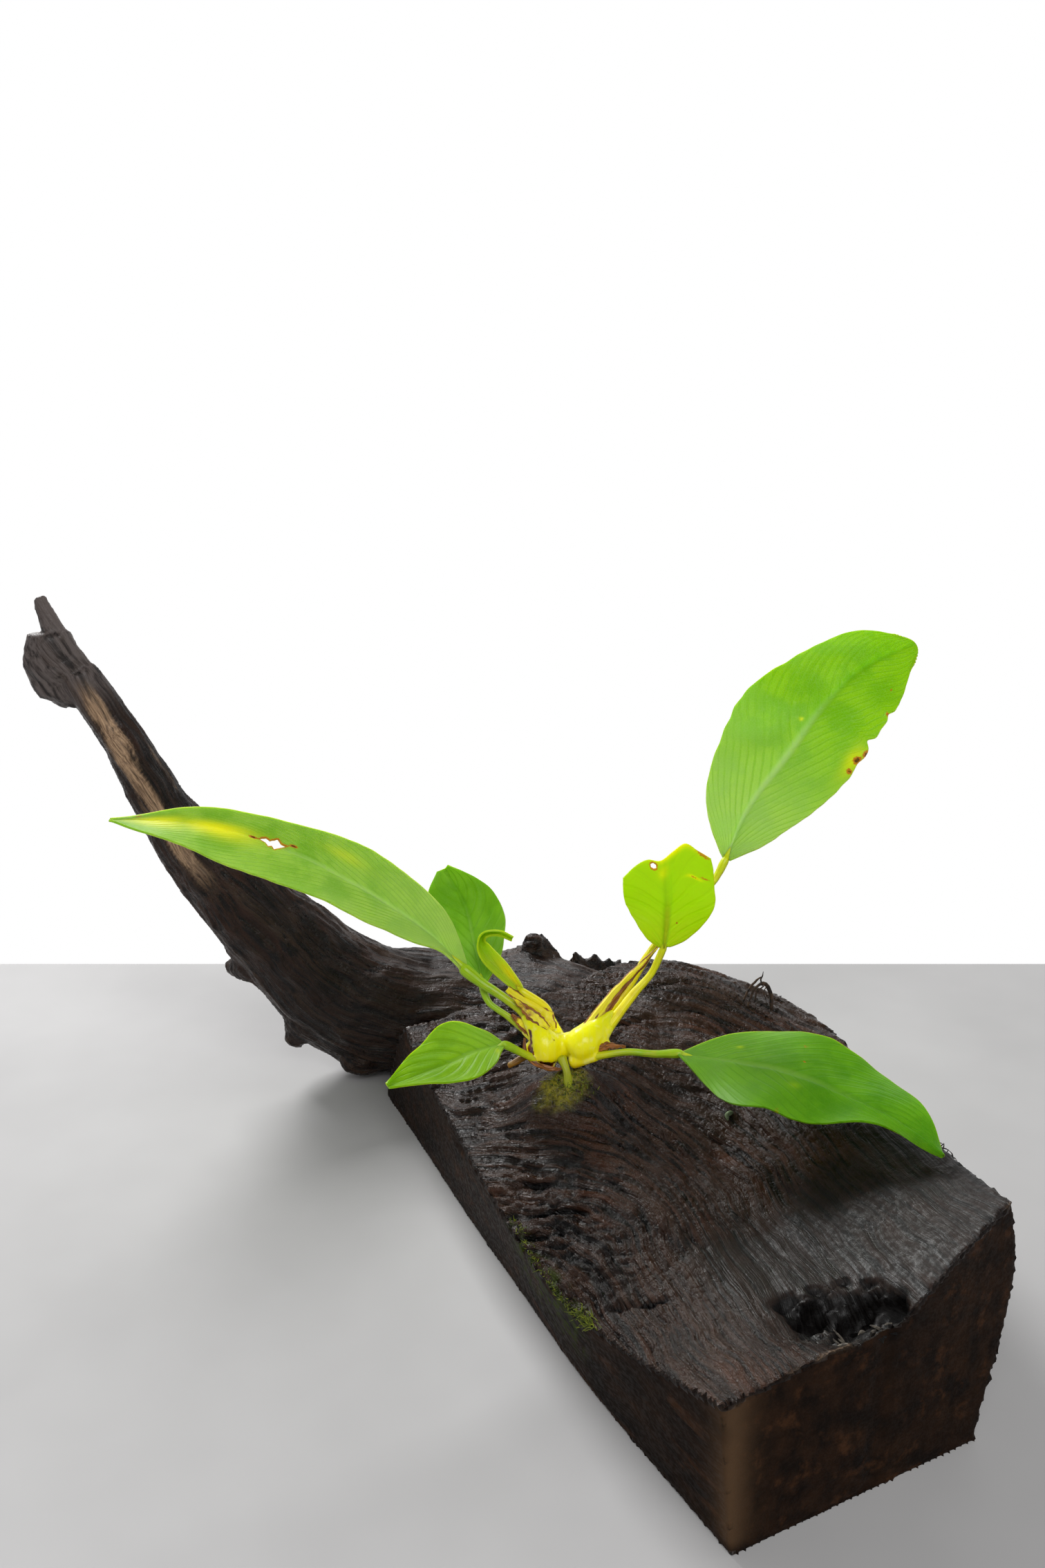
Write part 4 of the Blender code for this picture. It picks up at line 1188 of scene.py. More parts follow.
LEAVES = (
    Leaf("long",
         ((-5, 0.6, 62.5), (-10, 3.8, 67.8), (-16, 6.5, 71.5), (-21, 8.2, 74.2), (-25.5, 9.6, 77.4)),
         (1.7, 1.2, 1.2, 1.4, 1.7),
         ((-26, 10, 78.3), (-37.5, 11.6, 89.7), (-56, 11.5, 102.8), (-76, 10.8, 114),
          (-97, 8.2, 121), (-117, 4.2, 123)),
         (0, -0.3, 0.95),
         (1.2, 2.5, 7, 10, 12, 14, 15, 14.5, 11.5, 7.5, 0.6),
         (1.2, 6.5, 11, 13, 13.5, 12, 9.5, 7.5, 5, 2.5, 0.6),
         1.2, 0.5, 2.5, ("#74a626", "#98c244", "#c0e080", "#f0f000"),
         marks=(Mark(0.74, -0.02, 0.09, 0.30, yellow=1.0), Mark(0.88, 0.0, 0.08, 0.40, yellow=0.8),
                Mark(0.653, -0.01, 0.012, 0.05, scar=0.9), Mark(0.557, 0.19, 0.012, 0.06, scar=0.9),
                Mark(0.44, 0.55, 0.05, 0.14, yellow=0.3)),
         holes=(((0.640, 0.01), (0.623, 0.13), (0.612, 0.085), (0.597, 0.24), (0.585, 0.13),
                 (0.570, 0.11), (0.583, 0.0), (0.597, -0.14), (0.605, -0.06), (0.613, -0.11),
                 (0.622, -0.03)),
                ((0.932, 0.60), (0.936, 0.68), (0.930, 0.74), (0.925, 0.66))),
         rows=230, columns=60),
    Leaf("back",
         ((-6.4, 2.6, 60.8), (-10, 4.2, 62.6), (-14.5, 6.2, 65.6), (-19, 8.2, 68.2),
          (-20.8, 10.2, 71.4)),
         (1.5, 1.0, 0.9, 0.9, 1.1),
         ((-21, 11, 72.8), (-24, 20.5, 82), (-26.5, 28.5, 89), (-32.5, 37, 96.8)),
         (-0.1, -0.75, 0.65),
         (0.8, 3, 5, 6.5, 7.5, 8, 9, 9.3, 9, 7.5, 2.5),
         (0.8, 5, 7.5, 9, 10, 10, 9.5, 8.5, 6.5, 4, 0.8),
         1.0, 0.3, 2.0, ("#5e9808", "#76ae18", "#94c04c", "#a8b820")),
    Leaf("young",
         ((-1.6, 4.4, 63.4), (-3.8, 5.6, 68.4), (-9.6, 6.4, 72.2)),
         (1.3, 1.1, 1.2),
         ((-10.2, 6.6, 72.6), (-15.2, 8.4, 77.2), (-20, 10.6, 81.6), (-21.6, 11.8, 84.8),
          (-20.4, 12, 87.2), (-16.6, 11.8, 87.6), (-12.8, 11.5, 86)),
         (0.3, -0.85, 0.3),
         (0.9, 1.4, 1.8, 1.8, 1.4, 0.9, 0.6, 0.5, 0.4, 0.4, 0.3),
         (0.9, 1.7, 2.3, 2.3, 1.8, 1.0, 0.6, 0.5, 0.4, 0.4, 0.3),
         1.6, 0.0, 1.0, ("#8cb008", "#a8c410", "#b8d040", "#dcc804"),
         marks=(Mark(0.12, 0.5, 0.12, 0.5, yellow=0.9), Mark(0.04, 0.0, 0.05, 1.2, scar=0.4)),
         rows=90, columns=18, thickness=0.5),
    Leaf("side",
         ((-5.2, -3.6, 57.2), (-9.4, -4.4, 59.6), (-14.4, -5, 62.6)),
         (1.3, 1.0, 1.1),
         ((-15.2, -5.3, 63.1), (-22, -9, 63.2), (-31, -14.2, 61.8), (-44.2, -21.8, 60.2)),
         (-0.1, -0.35, 0.93),
         (0.9, 3, 5.5, 7, 8, 8.5, 8, 6.5, 4, 2, 0.5),
         (0.9, 5.5, 8.5, 11, 12, 12, 11, 9, 7, 4, 0.5),
         0.8, 0.3, 2.0, ("#689800", "#80ae08", "#98c44c", "#c4d400"),
         marks=(Mark(0.12, -0.63, 0.03, 0.3, yellow=0.5),)),
    Leaf("right",
         ((6.6, -4.2, 58), (12, -4.8, 59.6), (18.5, -5, 60.6), (25, -6.1, 60.6), (31, -7.4, 61.5)),
         (1.4, 1.0, 0.95, 1.0, 1.2),
         ((31.9, -7.7, 61.6), (45, -13.3, 62.8), (57.5, -20, 63.6), (69.2, -28.1, 62.5),
          (80, -38, 61.4), (89.1, -48.6, 58.2)),
         (0.05, -0.25, 0.97),
         (1.0, 6.5, 13.5, 17, 17.5, 17, 15.5, 13, 10, 5.5, 0.5),
         (1.0, 7.5, 13, 15.5, 14.5, 13.5, 11.5, 8, 4, 2, 0.5),
         -1.0, 1.2, 2.6, ("#4a8803", "#63a00d", "#88b448", "#a8c810"),
         marks=(Mark(0.20, -0.43, 0.012, 0.04, yellow=0.9), Mark(0.41, -0.65, 0.02, 0.06, scar=0.42),
                Mark(0.437, -0.30, 0.007, 0.02, scar=0.7), Mark(0.45, 0.29, 0.02, 0.08, yellow=0.4),
                Mark(0.443, 0.97, 0.016, 0.08, scar=0.42)),
         rows=190, columns=60),
    Leaf("chewed",
         ((11.6, 0.6, 62.6), (16, 3.8, 67.2), (20.4, 6.8, 71.8), (25.2, 9.2, 76.6),
          (28.2, 10.6, 82.8)),
         (1.7, 1.4, 1.2, 1.0, 1.0),
         ((28.6, 10.8, 83.8), (29.3, 12.2, 92), (29.4, 12.7, 100), (28.7, 13.8, 112.6)),
         (0, 0.98, 0.15),
         (0.9, 5.5, 8, 10, 11.5, 12.5, 13, 12.8, 12.6, 12.4, 12),
         (0.9, 4.5, 6.5, 8, 9.2, 10.2, 11, 11.6, 12, 12.1, 12.1),
         1.2, 0.5, 1.5, ("#90ca00", "#a2cd04", "#a8a010", "#f4f000"),
         bite=(0.12, 0.06, 0.0, 0.05, 0.11, 0.10, 0.14, 0.22),
         marks=(Mark(0.777, -0.57, 0.012, 0.16, scar=0.45, yellow=0.8),
                Mark(0.80, -0.80, 0.014, 0.22, scar=0.5), Mark(0.293, -0.27, 0.012, 0.03, scar=0.9),
                Mark(1.0, -0.8, 0.05, 0.25, scar=0.55), Mark(1.0, -0.2, 0.03, 0.5, yellow=0.8),
                Mark(0.9, 0.1, 0.05, 0.10, yellow=0.5)),
         holes=(((0.935, 0.30), (0.945, 0.24), (0.972, 0.25), (0.983, 0.31), (0.968, 0.37),
                 (0.943, 0.36)),),
         slot=Slot.PALE_BLADE),
    Leaf("tall",
         ((8, 4.2, 62.8), (13.4, 7.2, 66), (18.6, 11, 70.6), (26, 17, 80), (35.5, 22.8, 89.6),
          (43.6, 27, 96.2), (47, 28.9, 101.6)),
         (1.6, 1.3, 1.2, 1.1, 1.0, 1.0, 1.2),
         ((47.5, 29.3, 102.7), (54.5, 36.2, 116), (67, 45.9, 128.9), (78.1, 54, 141.2),
          (91.5, 61.7, 151.2), (107.6, 68.1, 157.0)),
         (-0.2, -0.8, 0.55),
         (1.1, 7.5, 13, 17, 19.7, 20.6, 19, 16.4, 13.4, 9.8, 4.4),
         (1.1, 9, 13, 16, 18, 18.7, 18.4, 17.2, 16, 12.8, 6.0),
         1.8, 0.8, 2.5, ("#72ae00", "#8ec400", "#cce49c", "#e0e808"),
         marks=(Mark(0.50, 0.90, 0.07, 0.12, yellow=0.7), Mark(0.46, 0.95, 0.012, 0.06, scar=0.8),
                Mark(0.51, 0.96, 0.020, 0.06, scar=0.95), Mark(0.55, 1.0, 0.02, 0.06, scar=0.9),
                Mark(0.823, 0.69, 0.009, 0.03, scar=0.7), Mark(0.737, 1.0, 0.012, 0.07, scar=0.7),
                Mark(0.52, -0.13, 0.006, 0.025, yellow=1.0)),
         dents=(Dent(0.605, 1, 0.022, 0.10), Dent(0.50, 1, 0.03, 0.035), Dent(0.74, 1, 0.02, 0.05)),
         bite=(0.05, 0.014, 0.0, 0.012, 0.05),
         rows=230, columns=64))


@dataclass
class Foliage:
    """The seven leaves: blades and stalks."""

    leaves: tuple = LEAVES
    ridge: float = 0.55            # height of the midrib under a blade
    rim: float = 0.8               # width of the dead rim round a hole

    def build(self) -> None:
        """Makes each leaf's blade and stalk."""
        skins = {
            "green": Fleshy("fleshy_green_stalk", (
                (0.0, "#e4dc00"), (0.16, "#c4cc08"), (0.4, "#94bc0c"), (0.8, "#9cc40a"),
                (0.97, "#d0dc04")), "#b8bc28").make(),
            "yellow": Fleshy("fleshy_yellow_stalk", (
                (0.0, "#fcf000"), (0.3, "#f4e80c"), (0.6, "#d8dc0c"), (0.97, "#c8dc08")),
                "#e0c828").make()}
        for leaf in self.leaves:
            self.blade(leaf)
            ripe = leaf.name in ("chewed", "tall", "young")
            self.stalk(leaf, skins["yellow" if ripe else "green"])

    @staticmethod
    def place(leaf: Leaf, s: np.ndarray, t: np.ndarray) -> np.ndarray:
        """Places on a blade's upper surface.

        Args:
            leaf: the leaf.
            s: how far along the blade, 0 to 1.
            t: how far across it, -1 at the left margin to 1 at the right.

        Returns:
            (n, 3) places.
        """
        half = np.where(t < 0, smooth_line(leaf.left, s)[:, 0], smooth_line(leaf.right, s)[:, 0])
        for dent in leaf.dents:
            shape = np.exp(-((s - dent.s) / dent.reach) ** 2)
            half *= 1 - dent.depth * shape * (np.sign(t) == dent.side)
        margin = noise(np.stack((s * leaf.length / 4.0, np.sign(t), t * 0), 1), 7)
        half *= 1 + 0.012 * margin
        reach = s * (1.0 - smooth_line(leaf.bite, (t + 1) / 2)[:, 0])
        centre = smooth_line(leaf.midrib, reach)
        ahead = smooth_line(leaf.midrib, np.minimum(reach + 0.02, 1.0))
        behind = smooth_line(leaf.midrib, np.maximum(reach - 0.02, 0.0))
        along = ahead - behind
        along /= np.linalg.norm(along, axis=1)[:, None]
        facing = np.tile(np.asarray(leaf.facing, dtype=float), (len(s), 1))
        facing -= along * np.einsum("ij,ij->i", facing, along)[:, None]
        facing /= np.linalg.norm(facing, axis=1)[:, None]
        rightward = np.cross(along, facing)
        size = np.abs(t)
        broad = np.minimum(1, half / 8)
        lift = leaf.fold * size ** 1.5 * np.sin(np.pi * np.minimum(s, 0.9)) ** 0.5
        lift += leaf.wave * size ** 2 * np.sin(2 * np.pi * leaf.waves * s + 2.0 * (t > 0))
        turns = leaf.length / VEIN_MM * (s - VEIN_SLANT * size ** VEIN_BEND)
        lift -= 0.07 * broad * np.sin(2 * np.pi * turns) * np.sin(np.pi * size)
        lift -= 0.30 * np.exp(-(size * half / 0.9) ** 2) * np.minimum(1, 6 * (1 - s)) * broad
        lift += 0.35 * broad * noise(np.stack((s * leaf.length / 11, t * half / 9, t * 0), 1), 5)
        return centre + rightward * (half * t)[:, None] + facing * lift[:, None]

    def blade(self, leaf: Leaf) -> None:
        """Makes a leaf's blade, with its midrib, holes and scars.

        Args:
            leaf: the leaf.
        """
        bm = marked_mesh()
        bmesh.ops.create_grid(bm, x_segments=leaf.rows, y_segments=leaf.columns, size=1.0)
        for vert in bm.verts:
            vert.co.x = (vert.co.x + 1) / 2
        for outline in leaf.holes:
            self.cut_hole(bm, outline)
        verts = bm.verts[:]
        flat = np.array([v.co[:2] for v in verts])
        s, t = flat.T
        yellow, scar = np.zeros(len(s)), np.zeros(len(s))
        for mark in leaf.marks:
            shape = np.exp(-((s - mark.s) / mark.reach_s) ** 2 - ((t - mark.t) / mark.reach_t) ** 2)
            scar = np.maximum(scar, mark.scar * shape)
            yellow = np.maximum(yellow, mark.yellow * shape)
        size = (leaf.length, leaf.width / 2)
        for outline in leaf.holes:
            distance, _way = near_line(flat * size, np.array(outline + outline[:1]) * size)
            scar = np.maximum(scar, 0.55 * rise(self.rim, 0.2, distance))
        set_marks(bm, verts, {"along": s, "across": t, "yellow": yellow, "scar": scar})
        move_verts(verts, self.place(leaf, s, t))
        bm.normal_update()
        if sum(f.normal.dot(Vector(leaf.facing)) for f in bm.faces) < 0:
            bmesh.ops.reverse_faces(bm, faces=bm.faces)

        def ridge(along: float, across: float) -> float:
            """Height of the midrib's ridge, which thins towards the tip."""
            off = across * leaf.width / 2 * math.sin(math.pi * min(0.1 + along, 0.9)) ** 0.5
            return self.ridge * (1.05 - along) * math.exp(-(off / 0.9) ** 2)

        thicken(bm, verts, leaf.thickness, ridge)
        deep, light, vein, flush = leaf.colours
        upper = Waxy(f"waxy_{leaf.name}_leaf", deep, light, vein, flush, leaf.length)
        under = Waxy(f"underside_of_{leaf.name}_leaf", light, light, vein, flush, leaf.length,
                     under=True)
        finish_piece(f"leaf_{leaf.name}", bm, [upper.make(), under.make()],
                     (f"blade_{leaf.name}",))

    @staticmethod
    def cut_hole(bm: bmesh.types.BMesh, outline: tuple) -> None:
        """Cuts a hole with clean edges in the flat grid.

        Args:
            bm: the grid, x along the blade and y across it.
            outline: the hole's corners.
        """
        xs, ys = zip(*outline)
        sides = list(zip(outline, outline[1:] + outline[:1]))

        def close(face: bmesh.types.BMFace, reach: float) -> bool:
            """Whether a face's middle lies in the outline's box, widened by reach."""
            x, y, _z = face.calc_center_median()
            return (min(xs) - reach < x < max(xs) + reach
                    and min(ys) - reach < y < max(ys) + reach)

        for (x0, y0), (x1, y1) in sides:
            near = [f for f in bm.faces if close(f, 0.04)]
            geom = near + list({g for f in near for g in (*f.edges, *f.verts)})
            bmesh.ops.bisect_plane(bm, geom=geom, dist=1e-5, plane_co=(x0, y0, 0),
                                   plane_no=(y1 - y0, x0 - x1, 0))

        def inside(x: float, y: float) -> bool:
            """Whether a point lies inside the outline."""
            hits = [(x1 - x0) * (y - y0) / (y1 - y0) + x0 > x
                    for (x0, y0), (x1, y1) in sides if (y0 > y) != (y1 > y)]
            return sum(hits) % 2 == 1

        gone = [f for f in bm.faces if close(f, 0.0) and inside(*f.calc_center_median()[:2])]
        bmesh.ops.delete(bm, geom=gone, context="FACES")

    @staticmethod
    def stalk(leaf: Leaf, skin: bpy.types.Material) -> None:
        """Makes a leaf's stalk, which widens at its foot and ends in the blade's midrib.

        Args:
            leaf: the leaf.
            skin: the stalk's material.
        """
        bm = bmesh.new()
        start, onward = (Vector(p) for p in leaf.midrib[:2])
        below = Vector(leaf.facing).normalized() * -leaf.thickness
        ends = (start + (onward - start) * 0.08 + below * 0.8,
                start + (onward - start) * 0.42 + below * 1.4)
        points = (*leaf.stalk, *ends)
        radii = (*leaf.stalk_radii, 0.65 * leaf.stalk_radii[-1], 0.3)
        add_rod(bm, points, radii, 16 * len(leaf.stalk), 20, rough=0.08, seed=len(leaf.name))
        finish_piece(f"petiole_{leaf.name}", bm, [skin], (f"stalk_{leaf.name}",))


@dataclass
class Crown:
    """The rhizome with its two bulbs, the stalks' flared feet and its roots."""

    voxel: float = 0.28
    bodies: tuple = (  # a line and its radii: rhizome, left bulb, right bulb
        (((-8.4, -0.2, 58.6), (-6.4, -0.2, 58.8), (-1.6, 0.2, 59), (2.2, 0.2, 59.8),
          (6.6, 0, 60.4), (11, -0.4, 60.4), (13.2, -0.6, 60)), (2.0, 3.4, 4.0, 3.4, 4.0, 3.0, 1.4)),
        (((-9.4, 3.4, 67.2), (-6.6, 1.2, 64.2), (-4.0, -1.0, 61.0), (-3.2, -1.8, 57.8)),
         (1.4, 2.5, 4.1, 4.3)),
        (((14.0, 4.2, 67.4), (10.6, 1.8, 64.4), (7.2, -0.8, 61.6), (4.6, -2.2, 60.0)),
         (1.6, 2.8, 4.7, 4.5)))
    scars: tuple = (  # brown lines: between the bulbs, and round the left one's foot
        ((-2.6, -3.4, 65.5), (0.2, -4.6, 62.5), (1.2, -5.4, 58.6)),
        ((-9.0, -1.5, 62.0), (-8.0, -3.4, 58.6), (-4.6, -5.6, 56.6), (0.6, -5.4, 56.8)),
        ((-8.4, -1.0, 64.0), (-8.4, -3.0, 61.0), (-7.0, -4.6, 58.0)))
    root: tuple = ((0.6, -4.2, 58.0), (1.4, -5.8, 56.6), (2, -6.8, 54.8), (2.3, -7.4, 51.0))
    nub: tuple = ((-8, 0.4, 57.4), (-10.6, -0.8, 56), (-13.6, -1.6, 54.6))

    def build(self) -> None:
        """Makes the crown's body and roots."""
        self.body()
        for name, line, radii, colours, node in (
                ("root_peg", self.root, (1.4, 1.05, 1.1, 1.5), ("#a8b010", "#98a020"), "root_stub"),
                ("root_bud", self.nub, (1.4, 1.0, 0.8), ("#7c5410", "#8a5a14"), "root_nub")):
            bm = bmesh.new()
            add_rod(bm, line, radii, 24, 18, rough=0.15, seed=2)
            skin = Fleshy(f"skin_of_{name}", tuple(zip((0.2, 0.9), colours)), "#a09838")
            finish_piece(name, bm, [skin.make()], (node,))

    def body(self) -> None:
        """Fuses the rhizome, the bulbs and a flared foot for each stalk."""
        whole = bmesh.new()
        for line, radii in self.bodies:
            add_rod(whole, line, radii, 30, 28)
        for leaf in LEAVES:
            start, onward = (Vector(p) for p in leaf.stalk[:2])
            way = (onward - start).normalized()
            wide = leaf.stalk_radii[0]
            line = [start + way * reach for reach in (-3.2, 0.0, 3.6)]
            add_rod(whole, line, (1.5 * wide, 1.25 * wide, 0.92 * wide), 12, 20)
        skin = fused(whole, self.voxel)
        bm = marked_mesh()
        bm.from_mesh(skin)
        bpy.data.meshes.remove(skin)
        for _turn in range(10):
            bmesh.ops.smooth_vert(bm, verts=bm.verts, factor=0.6, use_axis_x=True,
                                  use_axis_y=True, use_axis_z=True)
        bm.normal_update()
        verts = bm.verts[:]
        spots = np.array([v.co for v in verts])
        wavering = spots + 0.35 * np.stack([noise(spots / 1.6, i) for i in range(3)], axis=1)
        scar = np.zeros(len(spots))
        for line in self.scars:
            distance, _way = near_line(wavering, line)
            scar = np.maximum(scar, rise(1.5, 0.3, distance))
        for vert, lift in zip(verts, (0.08 * layered(spots / 3.4, 2, 4) - 0.25 * scar).tolist()):
            vert.co += vert.normal * lift
        set_marks(bm, verts, {"scar": scar})
        uv = bm.loops.layers.uv.verify()
        for face in bm.faces:
            for loop in face.loops:
                loop[uv].uv = (loop.vert.co.x / 30, (loop.vert.co.z - 55) / 14)
        skin = Fleshy("smooth_yellow_rhizome", (
            (0.0, "#d8a404"), (0.2, "#f4e404"), (0.55, "#fff810"), (0.9, "#e8ec10")),
            "#fff890", 0.24)
        finish_piece("crown", bm, [skin.make()], ("rhizome",))


@dataclass(frozen=True)
class Sheath:
    """A strip of leaf sheath: its line, half widths, facing, curl and how dead it is."""

    line: tuple
    widths: tuple
    facing: tuple
    curl: float
    dead: tuple                    # at equal steps along it, from 0 alive to 1 dead
    edge: float = 0.5              # how much deader its margins are


@dataclass
class Sheaths:
    """The dry and yellowed sheaths at the stalks' feet."""

    thickness: float = 0.22
    strips: tuple = (
        Sheath(((-14.1, 5.0, 74.2), (-10.6, 4.6, 71.4), (-6.0, 4.0, 68.6), (-3.0, 2.4, 66.8),
                (-1.6, 1.2, 64.0)), (0.7, 1.3, 1.5, 1.6, 1.0), (0.1, -0.9, 0.5), 0.5,
               (0.0, 0.1, 0.0, 0.0, 0.3), 0.45),
        Sheath(((-12.6, 3.2, 72.4), (-9.4, 2.2, 69.8), (-6.0, 0.8, 67.4), (-3.0, -0.8, 65.4)),
               (0.2, 1.1, 1.5, 0.9), (0.35, -0.85, 0.5), 0.4, (0.2, 0.45, 0.3, 0.3), 0.5),
        Sheath(((-13.0, 4.2, 66.8), (-9.8, 2.8, 64.6), (-6.8, 1.4, 62.2)), (0.3, 1.3, 1.1),
               (0.0, -0.9, 0.5), 0.4, (0.7, 0.3, 0.6), 0.5),
        Sheath(((26.8, 8.4, 85.0), (22.2, 7.2, 80.2), (16.6, 5.8, 74.8), (12.0, 3.6, 70.0),
                (8.0, 1.2, 65.6), (6.0, -0.2, 63.6)), (0.2, 0.7, 1.0, 1.3, 1.6, 1.4),
               (-0.5, -0.75, 0.4), 0.5, (0.5, 0.35, 0.1, 0.0, 0.05, 0.3), 0.6),
        Sheath(((24.0, 8.0, 81.0), (18.6, 6.0, 75.4), (13.8, 3.8, 70.2), (10.2, 1.6, 66.4),
                (8.4, 0.4, 64.2)), (0.2, 0.6, 1.1, 1.2, 0.6), (-0.1, -0.95, 0.2), 0.4,
               (0.7, 0.9, 1.0, 0.9, 0.6), 0.2),
        Sheath(((9.0, -3.2, 60.4), (12.6, -3.8, 61.8), (17.6, -4.2, 61.8)), (0.7, 1.0, 0.1),
               (0.0, -0.6, 0.8), 0.3, (0.8, 1.0, 1.0), 0.3),
        Sheath(((-9.4, -1.0, 62.6), (-9.2, -3.2, 59.4), (-6.6, -5.0, 57.0), (-2.0, -6.0, 56.0),
                (1.0, -5.6, 56.2)), (0.2, 0.6, 0.9, 0.7, 0.2), (-0.3, -0.9, -0.3), 0.3,
               (0.8, 1.0, 0.9, 1.0, 0.9), 0.3))

    def build(self) -> None:
        """Makes the strips as one piece."""
        bm = marked_mesh()
        for number, strip in enumerate(self.strips):
            verts = bmesh.ops.create_grid(bm, x_segments=44, y_segments=8, size=1.0)["verts"]
            flat = np.array([v.co for v in verts])
            s, t = (flat[:, 0] + 1) / 2, flat[:, 1]
            centre = smooth_line(strip.line, s)
            along = smooth_line(strip.line, np.minimum(s + 0.03, 1))
            along -= smooth_line(strip.line, np.maximum(s - 0.03, 0))
            along /= np.linalg.norm(along, axis=1)[:, None]
            side = np.cross(along, strip.facing)
            side /= np.linalg.norm(side, axis=1)[:, None]
            facing = np.cross(side, along)
            ragged = noise(np.stack((9 * s, np.sign(t), t * 0), axis=1), number)
            half = smooth_line(strip.widths, s)[:, 0] * (1 + 0.35 * ragged)
            lift = 0.35 * noise(np.stack((6 * s, 2 * t, t * 0 + number), axis=1), 3)
            lift -= strip.curl * t ** 2 * half
            dead = smooth_line(strip.dead, s)[:, 0] + strip.edge * (np.abs(t) > 0.7)
            set_marks(bm, verts, {"along": s, "across": t, "scar": dead})
            move_verts(verts, centre + side * (half * t)[:, None] + facing * lift[:, None])
            thicken(bm, verts, self.thickness)
        finish_piece("dry_sheaths", bm, [Papery("papery_sheath").make()] * 2)


@dataclass
class Trimmings:
    """Moss, frayed fibres, dead rootlets and a scrap of leaf, all on the wood."""

    surface: BVHTree
    tuft: int = 170                # moss strands in the tuft
    rim_moss: int = 200            # and along the rim
    peg_moss: int = 150            # and round the root that stands on the wood
    frays: int = 230
    chips: int = 13                # splinters in the hollow

    def build(self) -> None:
        """Makes each of them."""
        self.moss()
        self.rootlets()
        self.fray()
        self.splinters()
        self.scrap()

    def on_wood(self, x: float, y: float, start: float = 80.0) -> tuple:
        """The wood's surface straight below a point, and its normal there."""
        return self.surface.ray_cast(Vector((x, y, start)), Vector((0, 0, -1)))[:2]

    def on_block(self, across: float, along: float, start: float = 80.0) -> tuple:
        """The same for a point given across and along the block."""
        x, y, _z = block_point(across, along, 0)
        return self.on_wood(x, y, start)

    def moss(self) -> None:
        """Makes the moss: a tuft over the block's left edge, strands along it and by the peg."""
        rng = np.random.default_rng(7)
        bm = bmesh.new()
        for _i in range(self.tuft):
            across, along = -8.4 + rng.normal(0, 0.9), 47.5 + rng.normal(0, 2.6)
            place, normal = self.on_block(across, along)
            if place is None or place.z < 15:
                continue
            lean = astray(rng, 0.6) + normal * 0.7 + Vector((-0.4, 0, 0))
            lean *= rng.uniform(0.6, 1.9)
            bow = astray(rng, 0.25)
            line = (place - lean * 0.2, place + lean * 0.5 + bow, place + lean)
            add_rod(bm, line, (0.15, 0.13, 0.05), 5, 4)
        for _i in range(self.rim_moss):
            across, along = smooth_line(((-8.8, 50), (-8.9, 66), (-6.9, 88)), rng.random())[0]
            place, normal = self.on_block(across + rng.normal(0, 0.5), along)
            if place is None or place.z < 15:
                continue
            lean = astray(rng, 0.35) + normal * rng.uniform(0.3, 0.8)
            line = (place - lean * 0.3, place + lean * 0.5, place + lean)
            add_rod(bm, line, (0.13, 0.10, 0.04), 3, 4)
        foot = Crown.root[-1]
        for _i in range(self.peg_moss):
            x, y = foot[0] + rng.normal(0, 3.0), foot[1] + rng.normal(0, 1.6)
            place, normal = self.on_wood(x, y, 55.0)
            lean = astray(rng, 0.4) + normal * rng.uniform(0.3, 0.7)
            line = (place - lean * 0.3, place + lean * 0.4, place + lean)
            add_rod(bm, line, (0.16, 0.12, 0.05), 3, 4)
        strands = Matt("moss_strand", "#26330a", "#7a8418")
        finish_piece("moss_strands", bm, [strands.make()], ("moss_tuft",))

    def rootlets(self) -> None:
        """Makes the dead rootlets that stand on the hump, an arch with broken twigs."""
        bm = bmesh.new()
        for number, (line, radii) in enumerate((
                (((56, 27.6, 57.5), (57, 27.8, 61.5), (58.6, 28, 63.8), (60.3, 28.2, 64.5),
                  (61.6, 28.2, 63.2), (62.6, 28, 60.3), (63, 28, 56)),
                 (0.3, 0.35, 0.4, 0.5, 0.6, 0.62, 0.6)),
                (((54.6, 27.8, 59), (56.2, 28, 63), (57.8, 28.1, 65), (59.2, 28, 66.4)),
                 (0.4, 0.4, 0.35, 0.15)),
                (((59.9, 28.2, 63.8), (59.4, 28.3, 65.4), (59.8, 28.3, 66.6), (60, 28.2, 68)),
                 (0.3, 0.28, 0.22, 0.08)),
                (((57.6, 27.4, 58.5), (58.4, 27.4, 62), (60.2, 27.6, 64)), (0.25, 0.22, 0.2)),
                (((61, 27.6, 63.8), (60.4, 27.2, 62), (61.2, 27, 59)), (0.18, 0.14, 0.1)))):
            add_rod(bm, line, radii, 24, 7, rough=0.22, seed=9 + number)
        dead = Matt("dead_rootlet", "#120c08", "#4c3826")
        finish_piece("dead_rootlets", bm, [dead.make()], ("dry_rootlet",))

    def fray(self) -> None:
        """Makes frayed fibres along the hump and the block's right edge."""
        rng = np.random.default_rng(21)
        bm = bmesh.new()
        edges = (((62, 132), (82, 112), (90, 84), (90, 52), (84, 28)),
                 ((34, 146), (52, 138), (66, 128)))
        grain = block_way(-0.45, -0.9)
        for _i in range(self.frays):
            line = edges[0] if rng.random() < 0.75 else edges[1]
            across, along = smooth_line(line, rng.random())[0] + rng.normal(0, 1.8, 2)
            place, normal = self.on_block(across, along)
            if place is None or place.z < 12:
                continue
            lean = grain * float(rng.choice((-1, 1))) + astray(rng, 0.35)
            lean = (lean + normal * 0.35) * rng.uniform(0.8, 2.2)
            line = (place - normal * 0.3, place + lean * 0.5 + normal * 0.2, place + lean)
            add_rod(bm, line, (0.22, 0.16, 0.05), 5, 4)
        fibre = Matt("frayed_wood_fibre", "#0e0a08", "#3a2c20")
        finish_piece("frayed_fibres", bm, [fibre.make()])

